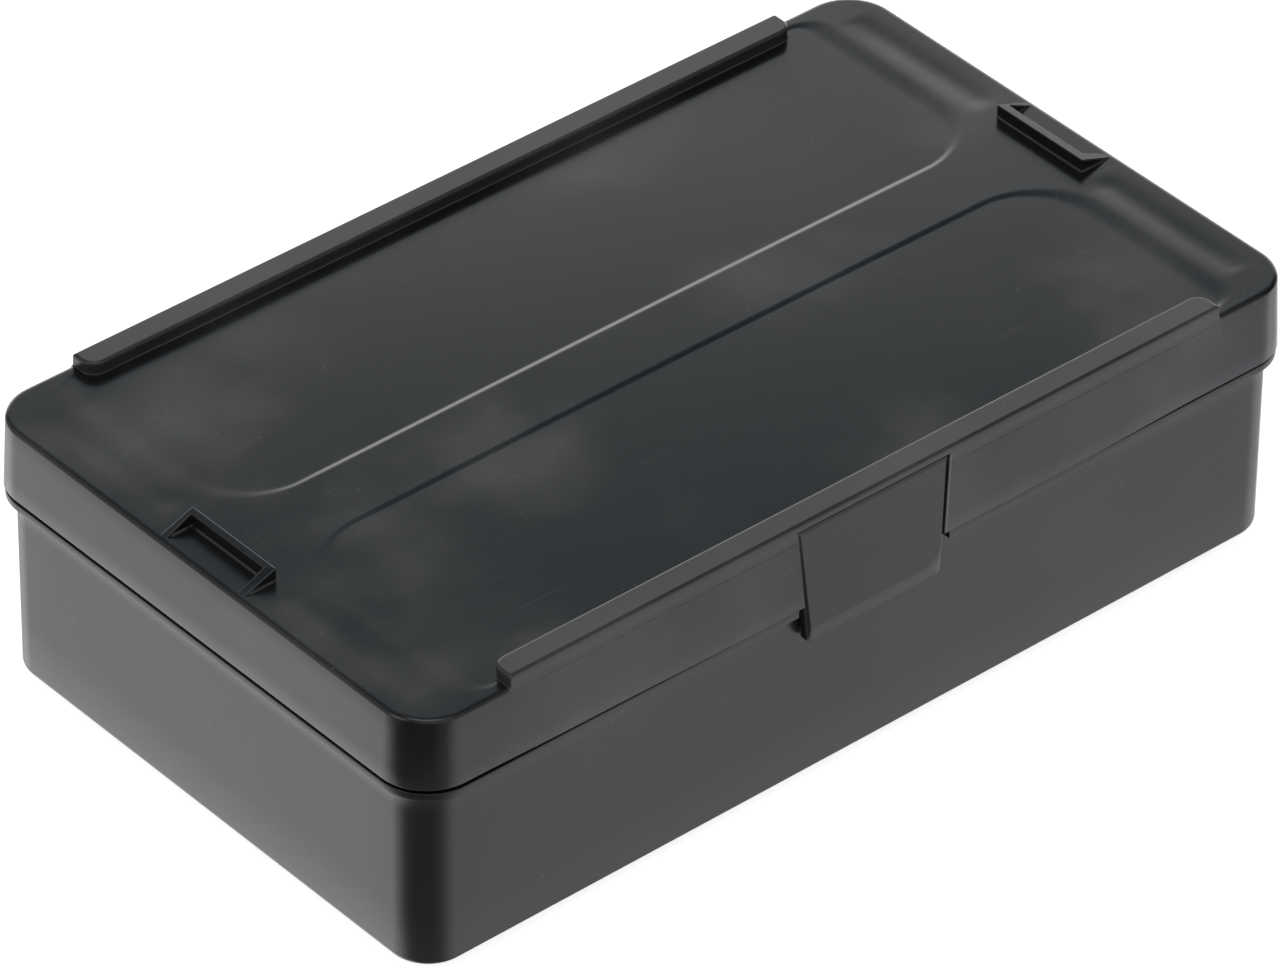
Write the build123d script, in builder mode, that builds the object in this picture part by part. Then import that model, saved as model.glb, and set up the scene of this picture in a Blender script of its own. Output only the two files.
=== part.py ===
from build123d import *
import os
from math import cos, radians, sin, tan

# Lidded plastic toolbox: a base with a stacking foot, a hinged lid with stacking rails,
# a snap latch, a lift-out tray and loose dividers.
# Millimetres. +Z up, +X along the long side, the latch on the -Y side and the hinge on
# the +Y side. The origin is the middle of the flat foot that the box stands on.

# ------------------------------------------------------------------ driving sizes
# Case
case_length = 180.0      # along X, over the lower edge of the lid's skirt
case_width = 106.0       # along Y, over the lower edge of the lid's skirt
base_height = 36.2       # foot to the top of the rim band
skirt_height = 13.1      # lower edge of the skirt to the rim of the lid's top
corner_radius = 7.0      # upright corners of the base, outside
skirt_overhang = 2.0     # skirt proud of the base's wall
parting_gap = 0.4        # dark line between rim band and skirt
# Base
base_wall = 2.0
floor_thickness = 2.0
band_height = 1.4        # rim band that the skirt closes onto
band_inset = 0.25        # band behind the skirt's lower edge
tongue_height = 4.0      # wall that stands up inside the skirt
tongue_setback = 0.5     # tongue behind the base's outer wall
foot_height = 1.6        # foot that drops between another box's rails
stacking_gap = 0.5       # foot to the rails and end stops of the box below
bottom_round = 1.0
inner_round = 1.2
# Lid
lid_wall = 1.8
lid_top_thickness = 1.7  # under the sunk panels
skirt_draft = 2.8        # degrees
lid_edge_round = 0.7
panel_depth = 0.6        # two sunk panels in the lid's top
panel_end_margin = 13.0
panel_side_margin = 3.0
panel_rib_width = 12.8   # raised rib between the two panels
panel_inner_corner = 13.0
panel_outer_corner = 4.0
rail_height = 2.2        # above the rim of the lid's top
rail_width = 4.7
rail_end_margin = 18.0
rail_corner = 2.5
rail_edge_round = 0.5
rail_hollow_width = 1.6
rail_skin = 1.5
stop_height = 2.5        # end stops in the middle of the short sides
stop_width = 20.0
stop_wall = 1.4
stop_inset = 6.6         # web of the stop, from the lid's end
stop_reach = 6.5         # how far its side ribs run towards the lid's end
# Latch
latch_top_width = 30.6
latch_slant = 4.8        # degrees, each side edge
latch_plate = 1.4
latch_bead_radius = 1.0
latch_bead_depth = 2.25  # bead's axis behind the lid's skirt line
latch_bead_drop = 2.6    # bead's axis below the top of the rail
latch_drop = 7.6         # latch below the skirt's lower edge
latch_flare = 2.1        # foot of the latch in front of its head
latch_corner = 1.0
latch_side_gap = 0.2
latch_pivot_radius = 0.7
latch_pivot_length = 2.2
latch_lip_height = 1.8   # nose that turns in under the catch
latch_lead_in = 0.6      # sloped lower edge of the nose
catch_width = 25.0
catch_depth = 1.0
catch_height = 3.4
catch_gap = 0.3
# Hinge
pin_radius = 1.25
pin_running_gap = 0.05
knuckle_wall = 1.35
knuckle_gap = 0.3
base_knuckle_length = 5.0
lid_knuckle_length = 11.0
hinge_end_margin = 38.0  # middle of each hinge from the case's end
pin_chamfer = 0.25
hinge_air = 0.4          # knuckle to skirt
hinge_gusset = 10.0
lid_gusset = 8.0
heel_reach = 0.8         # heel of the lid's knuckle that stops the lid
heel_angle = -30.0
heel_width = 1.4
# Tray
tray_side_gap = 0.6
tray_wall = 1.4
tray_floor = 1.4
tray_height = 17.0
tray_below_rim = 0.6
tray_handle_wall = 2.4
tray_handle_length = 62.0
tray_handle_rise = 5.6
tray_handle_slope = 45.0  # degrees, its two ends
finger_slot_length = 40.0
finger_slot_height = 6.5
tray_ledge_depth = 3.5
tray_ledge_width = 9.0
# Dividers
divider_thickness = 1.3
divider_gap = 0.15
divider_groove_rib = 1.2
divider_groove_depth = 1.3
divider_pitch = 21.0
tray_divider_drop = 1.0  # divider below the tray's rim
base_divider_spread = 70.0
grip_width = 22.0
grip_depth = 5.0

# ------------------------------------------------------------------ worked-out places
skirt_bottom = base_height + parting_gap
lid_rim = skirt_bottom + skirt_height
panel_floor = lid_rim - panel_depth
lid_ceiling = panel_floor - lid_top_thickness
rail_top = lid_rim + rail_height
base_length = case_length - 2 * skirt_overhang
base_width = case_width - 2 * skirt_overhang
base_front = -base_width / 2
band_bottom = base_height - band_height
band_length = case_length - 2 * band_inset
band_width = case_width - 2 * band_inset
band_corner = corner_radius + skirt_overhang - band_inset
tongue_top = base_height + tongue_height
inner_length = base_length - 2 * base_wall
inner_width = base_width - 2 * base_wall
inner_corner = corner_radius - base_wall
inner_floor = foot_height + floor_thickness
lid_corner = corner_radius + skirt_overhang
draft_run = tan(radians(skirt_draft))


def skirt_face(height):
    """Distance from the middle plane to the lid's long outer face at a height."""
    return case_width / 2 - (height - skirt_bottom) * draft_run


rail_outer = skirt_face(rail_top)
rail_inner = rail_outer - rail_width
rail_length = case_length - 2 * rail_end_margin
stop_web = case_length / 2 - stop_inset
foot_length = 2 * (stop_web - stop_wall - stacking_gap)
foot_width = 2 * (rail_inner - stacking_gap)
knuckle_radius = pin_radius + pin_running_gap + knuckle_wall
hinge_y = case_width / 2 + hinge_air + knuckle_radius
hinge_z = skirt_bottom
hinge_x = case_length / 2 - hinge_end_margin
base_knuckle_offset = (lid_knuckle_length + base_knuckle_length) / 2 + knuckle_gap
pin_length = 2 * (base_knuckle_offset + base_knuckle_length / 2)
latch_axis_y = -case_width / 2 + latch_bead_depth
latch_axis_z = rail_top - latch_bead_drop
latch_bottom = skirt_bottom - latch_drop
latch_head_y = latch_axis_y - latch_bead_radius
latch_foot_y = latch_head_y - latch_flare
latch_slant_run = tan(radians(latch_slant))
nose_inner = base_front - catch_gap
catch_bottom = latch_bottom + latch_lip_height + catch_gap
tray_length = inner_length - 2 * tray_side_gap
tray_width = inner_width - 2 * tray_side_gap
tray_corner = inner_corner - tray_side_gap
tray_top = tongue_top - tray_below_rim
tray_bottom = tray_top - tray_height
well_length = tray_length - 2 * tray_wall
well_width = (tray_width - tray_handle_wall) / 2 - tray_wall
well_middle = (tray_handle_wall + well_width) / 2
well_floor = tray_bottom + tray_floor
groove_width = divider_thickness + 2 * divider_gap


def latch_half_width(height):
    """Half the latch's width at a height: its side edges run in towards the foot."""
    return latch_top_width / 2 - (latch_axis_z - height) * latch_slant_run


def rounded_well(length, width, corner, bottom, top, round_radius):
    """A hollow with upright rounded corners and a rounded floor edge."""
    with BuildPart() as hollow:
        with BuildSketch(Plane.XY.offset(bottom)):
            RectangleRounded(length, width, corner)
        extrude(amount=top - bottom)
        fillet(hollow.edges().group_by(Axis.Z)[0], round_radius)
    return hollow.part


def groove_rails(middle_x, wall_y, side, bottom, top):
    """Two upright ribs on a long wall that hold the edge of a divider."""
    with BuildPart() as rails:
        with BuildSketch(Plane.XY.offset(bottom)):
            rib_y = wall_y + side * divider_groove_depth / 2
            for rib_side in (-1, 1):
                rib_x = middle_x + rib_side * (groove_width + divider_groove_rib) / 2
                with Locations((rib_x, rib_y)):
                    Rectangle(divider_groove_rib, divider_groove_depth)
        extrude(amount=top - bottom)
    return rails.part


# ------------------------------------------------------------------ base
base_hollow = rounded_well(
    inner_length, inner_width, inner_corner, inner_floor, tongue_top, inner_round
)
foot_corner = corner_radius
foot_hollow = rounded_well(
    foot_length - 2 * base_wall,
    foot_width - 2 * base_wall,
    foot_corner - base_wall,
    floor_thickness,
    inner_floor,
    inner_round,
)
base_divider_places = (-base_divider_spread / 2, base_divider_spread / 2)

with BuildPart() as base:
    # Wall, rim band and tongue
    with BuildSketch(Plane.XY.offset(foot_height)):
        RectangleRounded(base_length, base_width, corner_radius)
    extrude(amount=base_height - foot_height)
    fillet(base.edges().group_by(Axis.Z)[0], bottom_round)
    with BuildSketch(Plane.XY.offset(band_bottom)):
        RectangleRounded(band_length, band_width, band_corner)
    extrude(amount=band_height)
    with BuildSketch(Plane.XY.offset(base_height)):
        RectangleRounded(
            base_length - 2 * tongue_setback,
            base_width - 2 * tongue_setback,
            corner_radius - tongue_setback,
        )
    extrude(amount=tongue_height)
    # Foot, one step below the wall
    with BuildSketch():
        RectangleRounded(foot_length, foot_width, foot_corner)
    extrude(amount=foot_height)
    add(base_hollow, mode=Mode.SUBTRACT)
    add(foot_hollow, mode=Mode.SUBTRACT)
    # The rim band stops either side of the latch
    with BuildSketch(Plane.XY.offset(band_bottom)):
        with Locations((0, base_front - skirt_overhang)):
            Rectangle(latch_top_width, 2 * skirt_overhang)
    extrude(amount=band_height, mode=Mode.SUBTRACT)
    # Catch: a ramp that the latch's nose snaps over
    with BuildSketch(Plane.YZ):
        with BuildLine():
            Polyline(
                (base_front + base_wall / 2, catch_bottom),
                (base_front - catch_depth, catch_bottom),
                (base_front, catch_bottom + catch_height),
                (base_front + base_wall / 2, catch_bottom + catch_height),
                close=True,
            )
        make_face()
    extrude(amount=catch_width / 2, both=True)
    # Ledges on the short walls that carry the tray
    with BuildSketch(Plane.XY.offset(inner_floor)):
        for side_x in (-1, 1):
            for side_y in (-1, 1):
                ledge_x = side_x * (inner_length - tray_ledge_depth) / 2
                ledge_y = side_y * (inner_width / 2 - inner_corner - tray_ledge_width)
                with Locations((ledge_x, ledge_y)):
                    Rectangle(tray_ledge_depth, tray_ledge_width)
    extrude(amount=tray_bottom - inner_floor)
    # Grooves on the long walls for the two cross dividers
    for divider_x in base_divider_places:
        for side in (-1, 1):
            add(groove_rails(divider_x, side * inner_width / 2, -side, inner_floor, tray_bottom))
    # Hinge knuckles on gussets
    for side in (-1, 1):
        for end in (-1, 1):
            middle = side * hinge_x + end * base_knuckle_offset
            with BuildSketch(Plane.YZ.offset(middle - base_knuckle_length / 2)):
                with BuildLine():
                    Polyline(
                        (base_width / 2 - base_wall / 2, base_height - hinge_gusset),
                        (base_width / 2 - base_wall / 2, base_height),
                        (hinge_y, base_height),
                        (hinge_y + knuckle_radius, hinge_z),
                        (base_width / 2, base_height - hinge_gusset),
                        close=True,
                    )
                make_face()
                with Locations((hinge_y, hinge_z)):
                    Circle(knuckle_radius)
                    Circle(pin_radius, mode=Mode.SUBTRACT)
            extrude(amount=base_knuckle_length)
base.part.label = "base"

# ------------------------------------------------------------------ lid
with BuildPart() as rail:
    with BuildSketch(Plane.YZ):
        with BuildLine():
            Polyline(
                (rail_inner, lid_ceiling + panel_depth),
                (rail_inner, rail_top),
                (rail_outer, rail_top),
                (skirt_face(lid_rim - 2 * lid_edge_round), lid_rim - 2 * lid_edge_round),
                (rail_inner + lid_wall, lid_ceiling + panel_depth),
                close=True,
            )
        make_face()
    extrude(amount=rail_length / 2, both=True)
    fillet(rail.edges().filter_by(Axis.Z).group_by(Axis.Y)[0], rail_corner)
    fillet(rail.faces().sort_by(Axis.Z)[-1].edges(), rail_edge_round)

with BuildPart() as stop:
    # U-shaped in plan: a web with a rib at each end that slopes down to the lid's end
    with BuildSketch(Plane.XZ):
        with BuildLine():
            Polyline(
                (stop_web - stop_wall, panel_floor),
                (stop_web - stop_wall, lid_rim + stop_height),
                (stop_web, lid_rim + stop_height),
                (stop_web - stop_wall + stop_reach, lid_rim),
                (stop_web - stop_wall + stop_reach, panel_floor),
                close=True,
            )
        make_face()
    extrude(amount=stop_width / 2, both=True)
    with BuildSketch(Plane.XY.offset(lid_rim)):
        with Locations((stop_web + stop_reach / 2, 0)):
            Rectangle(stop_reach, stop_width - 2 * stop_wall)
    extrude(amount=stop_height, mode=Mode.SUBTRACT)

with BuildPart() as panel:
    # One sunk panel: large corners beside the rib, small ones beside the rail
    panel_start = panel_rib_width / 2
    panel_end = case_width / 2 - panel_side_margin
    with BuildSketch(Plane.XY.offset(panel_floor)) as panel_outline:
        with Locations((0, (panel_start + panel_end) / 2)):
            Rectangle(case_length - 2 * panel_end_margin, panel_end - panel_start)
        fillet(panel_outline.vertices().group_by(Axis.Y)[0], panel_inner_corner)
        fillet(panel_outline.vertices().group_by(Axis.Y)[-1], panel_outer_corner)
    extrude(amount=2 * panel_depth)

with BuildPart() as lid:
    with BuildSketch(Plane.XY.offset(skirt_bottom)):
        RectangleRounded(case_length, case_width, lid_corner)
    extrude(amount=skirt_height, taper=skirt_draft)
    fillet(lid.faces().sort_by(Axis.Z)[-1].edges(), lid_edge_round)
    with BuildSketch(Plane.XY.offset(skirt_bottom)):
        RectangleRounded(case_length - 2 * lid_wall, case_width - 2 * lid_wall, lid_corner - lid_wall)
    extrude(amount=lid_ceiling - skirt_bottom, taper=skirt_draft, mode=Mode.SUBTRACT)
    add(panel.part, mode=Mode.SUBTRACT)
    add(panel.part.mirror(Plane.XZ), mode=Mode.SUBTRACT)
    # The rib and the rails are hollow underneath
    with BuildSketch(Plane.XY.offset(lid_ceiling)):
        Rectangle(case_length - 2 * panel_end_margin, panel_rib_width - 2 * lid_wall)
    extrude(amount=panel_depth, mode=Mode.SUBTRACT)
    add(rail.part)
    add(rail.part.mirror(Plane.XZ))
    add(stop.part)
    add(stop.part.mirror(Plane.YZ))
    hollow_end = latch_top_width / 2 + latch_pivot_length + rail_skin
    hollow_length = rail_length / 2 - rail_skin - hollow_end
    with BuildSketch(Plane.XY.offset(lid_ceiling)):
        for side_x in (-1, 1):
            for side_y in (-1, 1):
                hollow_x = side_x * (hollow_end + hollow_length / 2)
                hollow_y = side_y * (rail_inner + rail_skin + rail_hollow_width / 2)
                with Locations((hollow_x, hollow_y)):
                    Rectangle(hollow_length, rail_hollow_width)
    extrude(amount=rail_top - rail_skin - lid_ceiling, mode=Mode.SUBTRACT)
    # Window in the front skirt that the latch fills, with a bore each side for its pivots
    window_top = latch_axis_z + latch_bead_radius + catch_gap
    window_back = latch_axis_y + latch_bead_radius + catch_gap
    with BuildSketch(Plane.XZ.offset(-window_back)):
        with BuildLine():
            Polyline(
                (latch_half_width(window_top) + latch_side_gap, window_top),
                (-latch_half_width(window_top) - latch_side_gap, window_top),
                (-latch_half_width(skirt_bottom) - latch_side_gap, skirt_bottom),
                (latch_half_width(skirt_bottom) + latch_side_gap, skirt_bottom),
                close=True,
            )
        make_face()
    extrude(amount=case_width / 2 + window_back, mode=Mode.SUBTRACT)
    with BuildSketch(Plane.YZ):
        with Locations((latch_axis_y, latch_axis_z)):
            Circle(latch_pivot_radius + pin_running_gap)
    extrude(
        amount=latch_top_width / 2 + latch_pivot_length + latch_side_gap,
        both=True,
        mode=Mode.SUBTRACT,
    )
    # Hinge knuckles, each with a gusset up the skirt and a heel that stops the lid
    for side in (-1, 1):
        with BuildSketch(Plane.YZ.offset(side * hinge_x - lid_knuckle_length / 2)):
            with BuildLine():
                Polyline(
                    (case_width / 2 - lid_wall / 2, hinge_z),
                    (skirt_face(hinge_z + lid_gusset) - lid_wall / 2, hinge_z + lid_gusset),
                    (skirt_face(hinge_z + lid_gusset), hinge_z + lid_gusset),
                    (hinge_y, hinge_z + knuckle_radius),
                    (hinge_y, hinge_z),
                    close=True,
                )
            make_face()
            with Locations((hinge_y, hinge_z)):
                Circle(knuckle_radius)
            heel_end = knuckle_radius + heel_reach
            heel_middle = heel_end / 2
            heel_turn = radians(heel_angle)
            heel_place = (hinge_y + heel_middle * cos(heel_turn), hinge_z + heel_middle * sin(heel_turn))
            with Locations(Location((*heel_place, 0), (0, 0, heel_angle))):
                Rectangle(heel_end, heel_width)
            with Locations((hinge_y, hinge_z)):
                Circle(pin_radius + pin_running_gap, mode=Mode.SUBTRACT)
        extrude(amount=lid_knuckle_length)
lid.part.label = "lid"

# ------------------------------------------------------------------ latch
with BuildPart() as latch:
    with BuildSketch(Plane.YZ):
        with BuildLine():
            Polyline(
                (latch_head_y, latch_axis_z),
                (latch_foot_y, latch_bottom + latch_lip_height / 2),
                (latch_foot_y + latch_plate / 2, latch_bottom),
                (nose_inner - latch_lead_in, latch_bottom),
                (nose_inner, latch_bottom + latch_lip_height / 2),
                (nose_inner, latch_bottom + latch_lip_height),
                (latch_foot_y + latch_plate, latch_bottom + latch_lip_height),
                (latch_head_y + latch_plate, latch_axis_z),
                close=True,
            )
        make_face()
        with Locations((latch_axis_y, latch_axis_z)):
            Circle(latch_bead_radius)
    extrude(amount=latch_top_width / 2, both=True)
    # Front outline: side edges that run in towards a foot with rounded corners
    with BuildSketch(Plane.XZ.offset(-latch_axis_y - 2 * latch_bead_radius)) as outline:
        outline_top = latch_axis_z + 2 * latch_bead_radius
        with BuildLine():
            Polyline(
                (-latch_half_width(outline_top), outline_top),
                (latch_half_width(outline_top), outline_top),
                (latch_half_width(latch_bottom), latch_bottom),
                (-latch_half_width(latch_bottom), latch_bottom),
                close=True,
            )
        make_face()
        fillet(outline.vertices().group_by(Axis.Y)[0], latch_corner)
    extrude(amount=4 * latch_bead_radius + latch_flare, mode=Mode.INTERSECT)
    with BuildSketch(Plane.YZ):
        with Locations((latch_axis_y, latch_axis_z)):
            Circle(latch_pivot_radius)
    extrude(amount=latch_top_width / 2 + latch_pivot_length, both=True)
latch.part.label = "latch"

# ------------------------------------------------------------------ hinge pins
hinge_pins = {}
for name, side in (("hinge_pin_left", -1), ("hinge_pin_right", 1)):
    with BuildPart() as pin:
        with BuildSketch(Plane.YZ.offset(side * hinge_x - pin_length / 2)):
            with Locations((hinge_y, hinge_z)):
                Circle(pin_radius)
        extrude(amount=pin_length)
        chamfer(pin.edges().filter_by(GeomType.CIRCLE), pin_chamfer)
    pin.part.label = name
    hinge_pins[name] = pin.part

# ------------------------------------------------------------------ tray
well_corner = tray_corner - tray_wall
front_well = rounded_well(
    well_length, well_width, well_corner, well_floor, tray_top, inner_round
).moved(Location((0, -well_middle, 0)))
back_well = front_well.mirror(Plane.XZ)
groove_count = int((well_length / 2 - well_corner - divider_groove_rib) / divider_pitch)
groove_places = [step * divider_pitch for step in range(-groove_count, groove_count + 1)]

with BuildPart() as tray:
    with BuildSketch(Plane.XY.offset(tray_bottom)):
        RectangleRounded(tray_length, tray_width, tray_corner)
    extrude(amount=tray_height)
    fillet(tray.edges().group_by(Axis.Z)[0], inner_round)
    add(front_well, mode=Mode.SUBTRACT)
    add(back_well, mode=Mode.SUBTRACT)
    # Carrying handle that rises out of the middle wall
    with BuildSketch(Plane.XZ) as handle_outline:
        with Locations((0, tray_top + tray_handle_rise / 2)):
            Trapezoid(tray_handle_length, tray_handle_rise, tray_handle_slope)
        fillet(handle_outline.vertices().group_by(Axis.Y)[-1], tray_handle_rise / 2)
    extrude(amount=tray_handle_wall / 2, both=True)
    with BuildSketch(Plane.XZ):
        with Locations((0, tray_top)):
            SlotOverall(finger_slot_length, finger_slot_height)
    extrude(amount=tray_handle_wall / 2, both=True, mode=Mode.SUBTRACT)
    # Grooves for the dividers of the back well
    for divider_x in groove_places:
        for wall_y, side in ((tray_handle_wall / 2, 1), (tray_width / 2 - tray_wall, -1)):
            add(groove_rails(divider_x, wall_y, side, well_floor, tray_top - tray_divider_drop))
tray.part.label = "tray"

# ------------------------------------------------------------------ tray dividers
tray_dividers = {}
for name, step in (("tray_divider_left", -2), ("tray_divider_middle", 0), ("tray_divider_right", 2)):
    with BuildPart() as divider:
        with BuildSketch(Plane.YZ.offset(step * divider_pitch - divider_thickness / 2)) as plate:
            plate_width = well_width - 2 * divider_gap
            plate_height = tray_top - tray_divider_drop - well_floor
            with Locations((well_middle, well_floor + plate_height / 2)):
                Rectangle(plate_width, plate_height)
            fillet(plate.vertices().group_by(Axis.Y)[0], inner_round + divider_gap)
            with Locations((well_middle, well_floor + plate_height)):
                Circle(grip_depth, mode=Mode.SUBTRACT)
        extrude(amount=divider_thickness)
    divider.part.label = name
    tray_dividers[name] = divider.part

# ------------------------------------------------------------------ base dividers
base_dividers = {}
for name, divider_x in zip(("base_divider_left", "base_divider_right"), base_divider_places):
    with BuildPart() as divider:
        with BuildSketch(Plane.YZ.offset(divider_x - divider_thickness / 2)) as plate:
            plate_height = tray_bottom - divider_gap - inner_floor
            with Locations((0, inner_floor + plate_height / 2)):
                Rectangle(inner_width - 2 * divider_gap, plate_height)
            fillet(plate.vertices().group_by(Axis.Y)[0], inner_round + divider_gap)
            with Locations((0, inner_floor + plate_height)):
                SlotOverall(grip_width, 2 * grip_depth, mode=Mode.SUBTRACT)
        extrude(amount=divider_thickness)
    divider.part.label = name
    base_dividers[name] = divider.part

# ------------------------------------------------------------------ write every piece
os.makedirs("parts", exist_ok=True)
export_step(base.part, "parts/base.step")
export_step(lid.part, "parts/lid.step")
export_step(latch.part, "parts/latch.step")
export_step(tray.part, "parts/tray.step")
for name, piece in (hinge_pins | tray_dividers | base_dividers).items():
    export_step(piece, f"parts/{name}.step")
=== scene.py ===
"""Looks of a lidded plastic toolbox with a lift-out tray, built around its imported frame.

The case stands on its foot at the origin, its latch towards -Y and its hinge towards +Y.
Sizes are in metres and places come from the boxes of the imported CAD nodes.
"""

from __future__ import annotations

import logging
import math
from collections.abc import Sequence
from dataclasses import dataclass
from enum import Enum

import bmesh
import bpy
from mathutils import Matrix, Vector

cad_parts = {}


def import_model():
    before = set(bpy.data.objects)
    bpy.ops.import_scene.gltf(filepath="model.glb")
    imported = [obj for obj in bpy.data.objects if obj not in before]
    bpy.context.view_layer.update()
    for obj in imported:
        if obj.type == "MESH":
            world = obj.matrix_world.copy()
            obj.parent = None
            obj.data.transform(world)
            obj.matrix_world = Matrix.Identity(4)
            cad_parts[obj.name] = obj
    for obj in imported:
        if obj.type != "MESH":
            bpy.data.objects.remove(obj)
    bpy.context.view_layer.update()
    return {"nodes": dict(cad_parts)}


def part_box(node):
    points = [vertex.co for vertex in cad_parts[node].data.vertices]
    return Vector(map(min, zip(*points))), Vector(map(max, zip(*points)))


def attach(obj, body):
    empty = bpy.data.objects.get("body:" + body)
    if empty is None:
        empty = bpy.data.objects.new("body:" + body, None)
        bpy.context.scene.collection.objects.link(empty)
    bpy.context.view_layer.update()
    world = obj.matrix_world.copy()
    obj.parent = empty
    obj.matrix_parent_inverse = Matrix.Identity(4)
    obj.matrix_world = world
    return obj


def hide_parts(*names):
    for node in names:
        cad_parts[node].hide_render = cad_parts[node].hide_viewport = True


LOG = logging.getLogger("toolbox")
MM = 0.001
QUARTER = math.pi / 2
BURIED = 0.6 * MM  # how far a raised detail runs into the wall that carries it
CAP_BORDER = 0.08 * MM  # width of the border inside a flat end

Colour = tuple[float, float, float]
Point2 = tuple[float, float]


# ---------------------------------------------------------------------------- places
@dataclass(frozen=True)
class CasePlaces:
    """Heights and half sizes that the pieces share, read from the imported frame."""

    lid_low: Vector
    lid_high: Vector
    base_high: Vector
    latch_low: Vector
    latch_high: Vector
    pin_low: Vector
    pin_high: Vector
    tray_low: Vector
    wall_corner: float = 7.0 * MM
    overhang: float = 2.0 * MM
    parting_gap: float = 0.4 * MM
    tongue_height: float = 4.0 * MM
    foot_height: float = 1.6 * MM
    stop_height: float = 2.5 * MM
    rail_height: float = 2.2 * MM
    draft: float = math.radians(2.8)

    @classmethod
    def read(cls) -> CasePlaces:
        """Reads the boxes of the CAD nodes that set the pieces' places."""
        lid, latch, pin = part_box("lid"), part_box("latch"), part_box("hinge_pin_right")
        return cls(*lid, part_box("base")[1], *latch, *pin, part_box("tray")[0])

    @property
    def half_length(self) -> float:
        """Half the case's length, over the lower edge of the lid's skirt."""
        return self.lid_high.x

    @property
    def half_width(self) -> float:
        """Half the case's width, over the lower edge of the lid's skirt."""
        return -self.lid_low.y

    @property
    def base_top(self) -> float:
        """Height of the base's rim band."""
        return self.base_high.z - self.tongue_height

    @property
    def skirt_bottom(self) -> float:
        """Height of the lower edge of the lid's skirt."""
        return self.base_top + self.parting_gap

    @property
    def lid_rim(self) -> float:
        """Height of the lid's top outside its sunk panels."""
        return self.lid_high.z - self.stop_height

    @property
    def rail_top(self) -> float:
        """Height of the stacking rails."""
        return self.lid_rim + self.rail_height

    @property
    def core(self) -> Core:
        """The rectangle between the centres of the case's upright corners."""
        inset = self.wall_corner + self.overhang
        return Core(self.half_length - inset, self.half_width - inset)

    @staticmethod
    def closing(u: float) -> float:
        """Share by which the parting gap is closed along the front."""
        return smooth_step((u + 0.75) / 0.5) * smooth_step((0.82 - u) / 0.3)

    def skirt_reach(self, height: float) -> float:
        """How far the lid's outer face stands from the core at a height."""
        run = (height - self.skirt_bottom) * math.tan(self.draft)
        return self.wall_corner + self.overhang - run

    def skirt_face(self, height: float) -> float:
        """How far the lid's long outer face stands from the middle plane at a height."""
        return self.core.half_y + self.skirt_reach(height)


# ---------------------------------------------------------------------------- mesh tools
@dataclass(frozen=True)
class Station:
    """One place on a rounded rectangle: where it lies on the core, and which way it faces."""

    u: float
    v: float
    nx: float
    ny: float


@dataclass(frozen=True)
class Core:
    """Half sizes of the rectangle whose corners are the centres of an outline's corners."""

    half_x: float
    half_y: float

    def at(self, station: Station, reach: float, height: float) -> Vector:
        """The point that stands a reach outside the core at a station."""
        x = station.u * self.half_x + station.nx * reach
        return Vector((x, station.v * self.half_y + station.ny * reach, height))


class Along(Enum):
    """The axis that a prism's outline is drawn out along."""

    X = 0
    Y = 1
    Z = 2

    def point(self, across: Point2, reach: float) -> Vector:
        """The point of an outline at a place along the axis."""
        first, second = across
        spots = {
            Along.X: (reach, first, second),
            Along.Y: (first, reach, second),
            Along.Z: (first, second, reach),
        }
        return Vector(spots[self])


def stations_around(
    u_lines: Sequence[float], v_lines: Sequence[float], corner_steps: int
) -> list[Station]:
    """Lists the stations round a rounded rectangle, from the -Y side counterclockwise.

    Args:
        u_lines: Places along X from -1 to 1, in shares of the core's half length.
        v_lines: Places along Y from -1 to 1, in shares of the core's half width.
        corner_steps: Facets of each corner.

    Returns:
        The stations, in order.
    """
    sides = (
        ([(u, -1.0) for u in u_lines], -QUARTER),
        ([(1.0, v) for v in v_lines], 0.0),
        ([(u, 1.0) for u in reversed(u_lines)], QUARTER),
        ([(-1.0, v) for v in reversed(v_lines)], math.pi),
    )
    found = []
    for places, facing in sides:
        nx, ny = round(math.cos(facing)), round(math.sin(facing))
        found += [Station(u, v, nx, ny) for u, v in places]
        u, v = places[-1]
        for step in range(1, corner_steps):
            angle = facing + QUARTER * step / corner_steps
            found.append(Station(u, v, math.cos(angle), math.sin(angle)))
    return found


def steps_between(start: float, end: float, spacing: float) -> list[float]:
    """Evenly spaced places from start up to, but without, end."""
    count = max(1, round((end - start) / spacing))
    return [start + (end - start) * step / count for step in range(count)]


def mirrored_lines(half_lines: Sequence[float]) -> list[float]:
    """Places from zero up, repeated on the negative side."""
    return [-place for place in reversed(half_lines) if place > 0] + list(half_lines)


def loft(mesh: bmesh.types.BMesh, rings: Sequence[Sequence[bmesh.types.BMVert]]) -> None:
    """Joins each ring of vertices to the next, with triangles where corners coincide.

    Args:
        mesh: The mesh that gets the faces.
        rings: Rings of the same length, in order.
    """
    for lower, upper in zip(rings, rings[1:]):
        for near in range(len(lower)):
            far = (near + 1) % len(lower)
            corners: list[bmesh.types.BMVert] = []
            for vertex in (lower[near], lower[far], upper[far], upper[near]):
                if vertex not in corners:
                    corners.append(vertex)
            if len(corners) > 2:
                mesh.faces.new(corners)


def add_ring(mesh: bmesh.types.BMesh, points: Sequence[Vector]) -> list[bmesh.types.BMVert]:
    """Adds a ring of points to a mesh."""
    return [mesh.verts.new(point) for point in points]


def add_cap(mesh: bmesh.types.BMesh, ring: Sequence[bmesh.types.BMVert]) -> None:
    """Closes a ring with a flat face inside a narrow border."""
    face = mesh.faces.new(ring)
    face.normal_update()
    bmesh.ops.inset_region(mesh, faces=[face], thickness=CAP_BORDER, use_even_offset=True)


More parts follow.
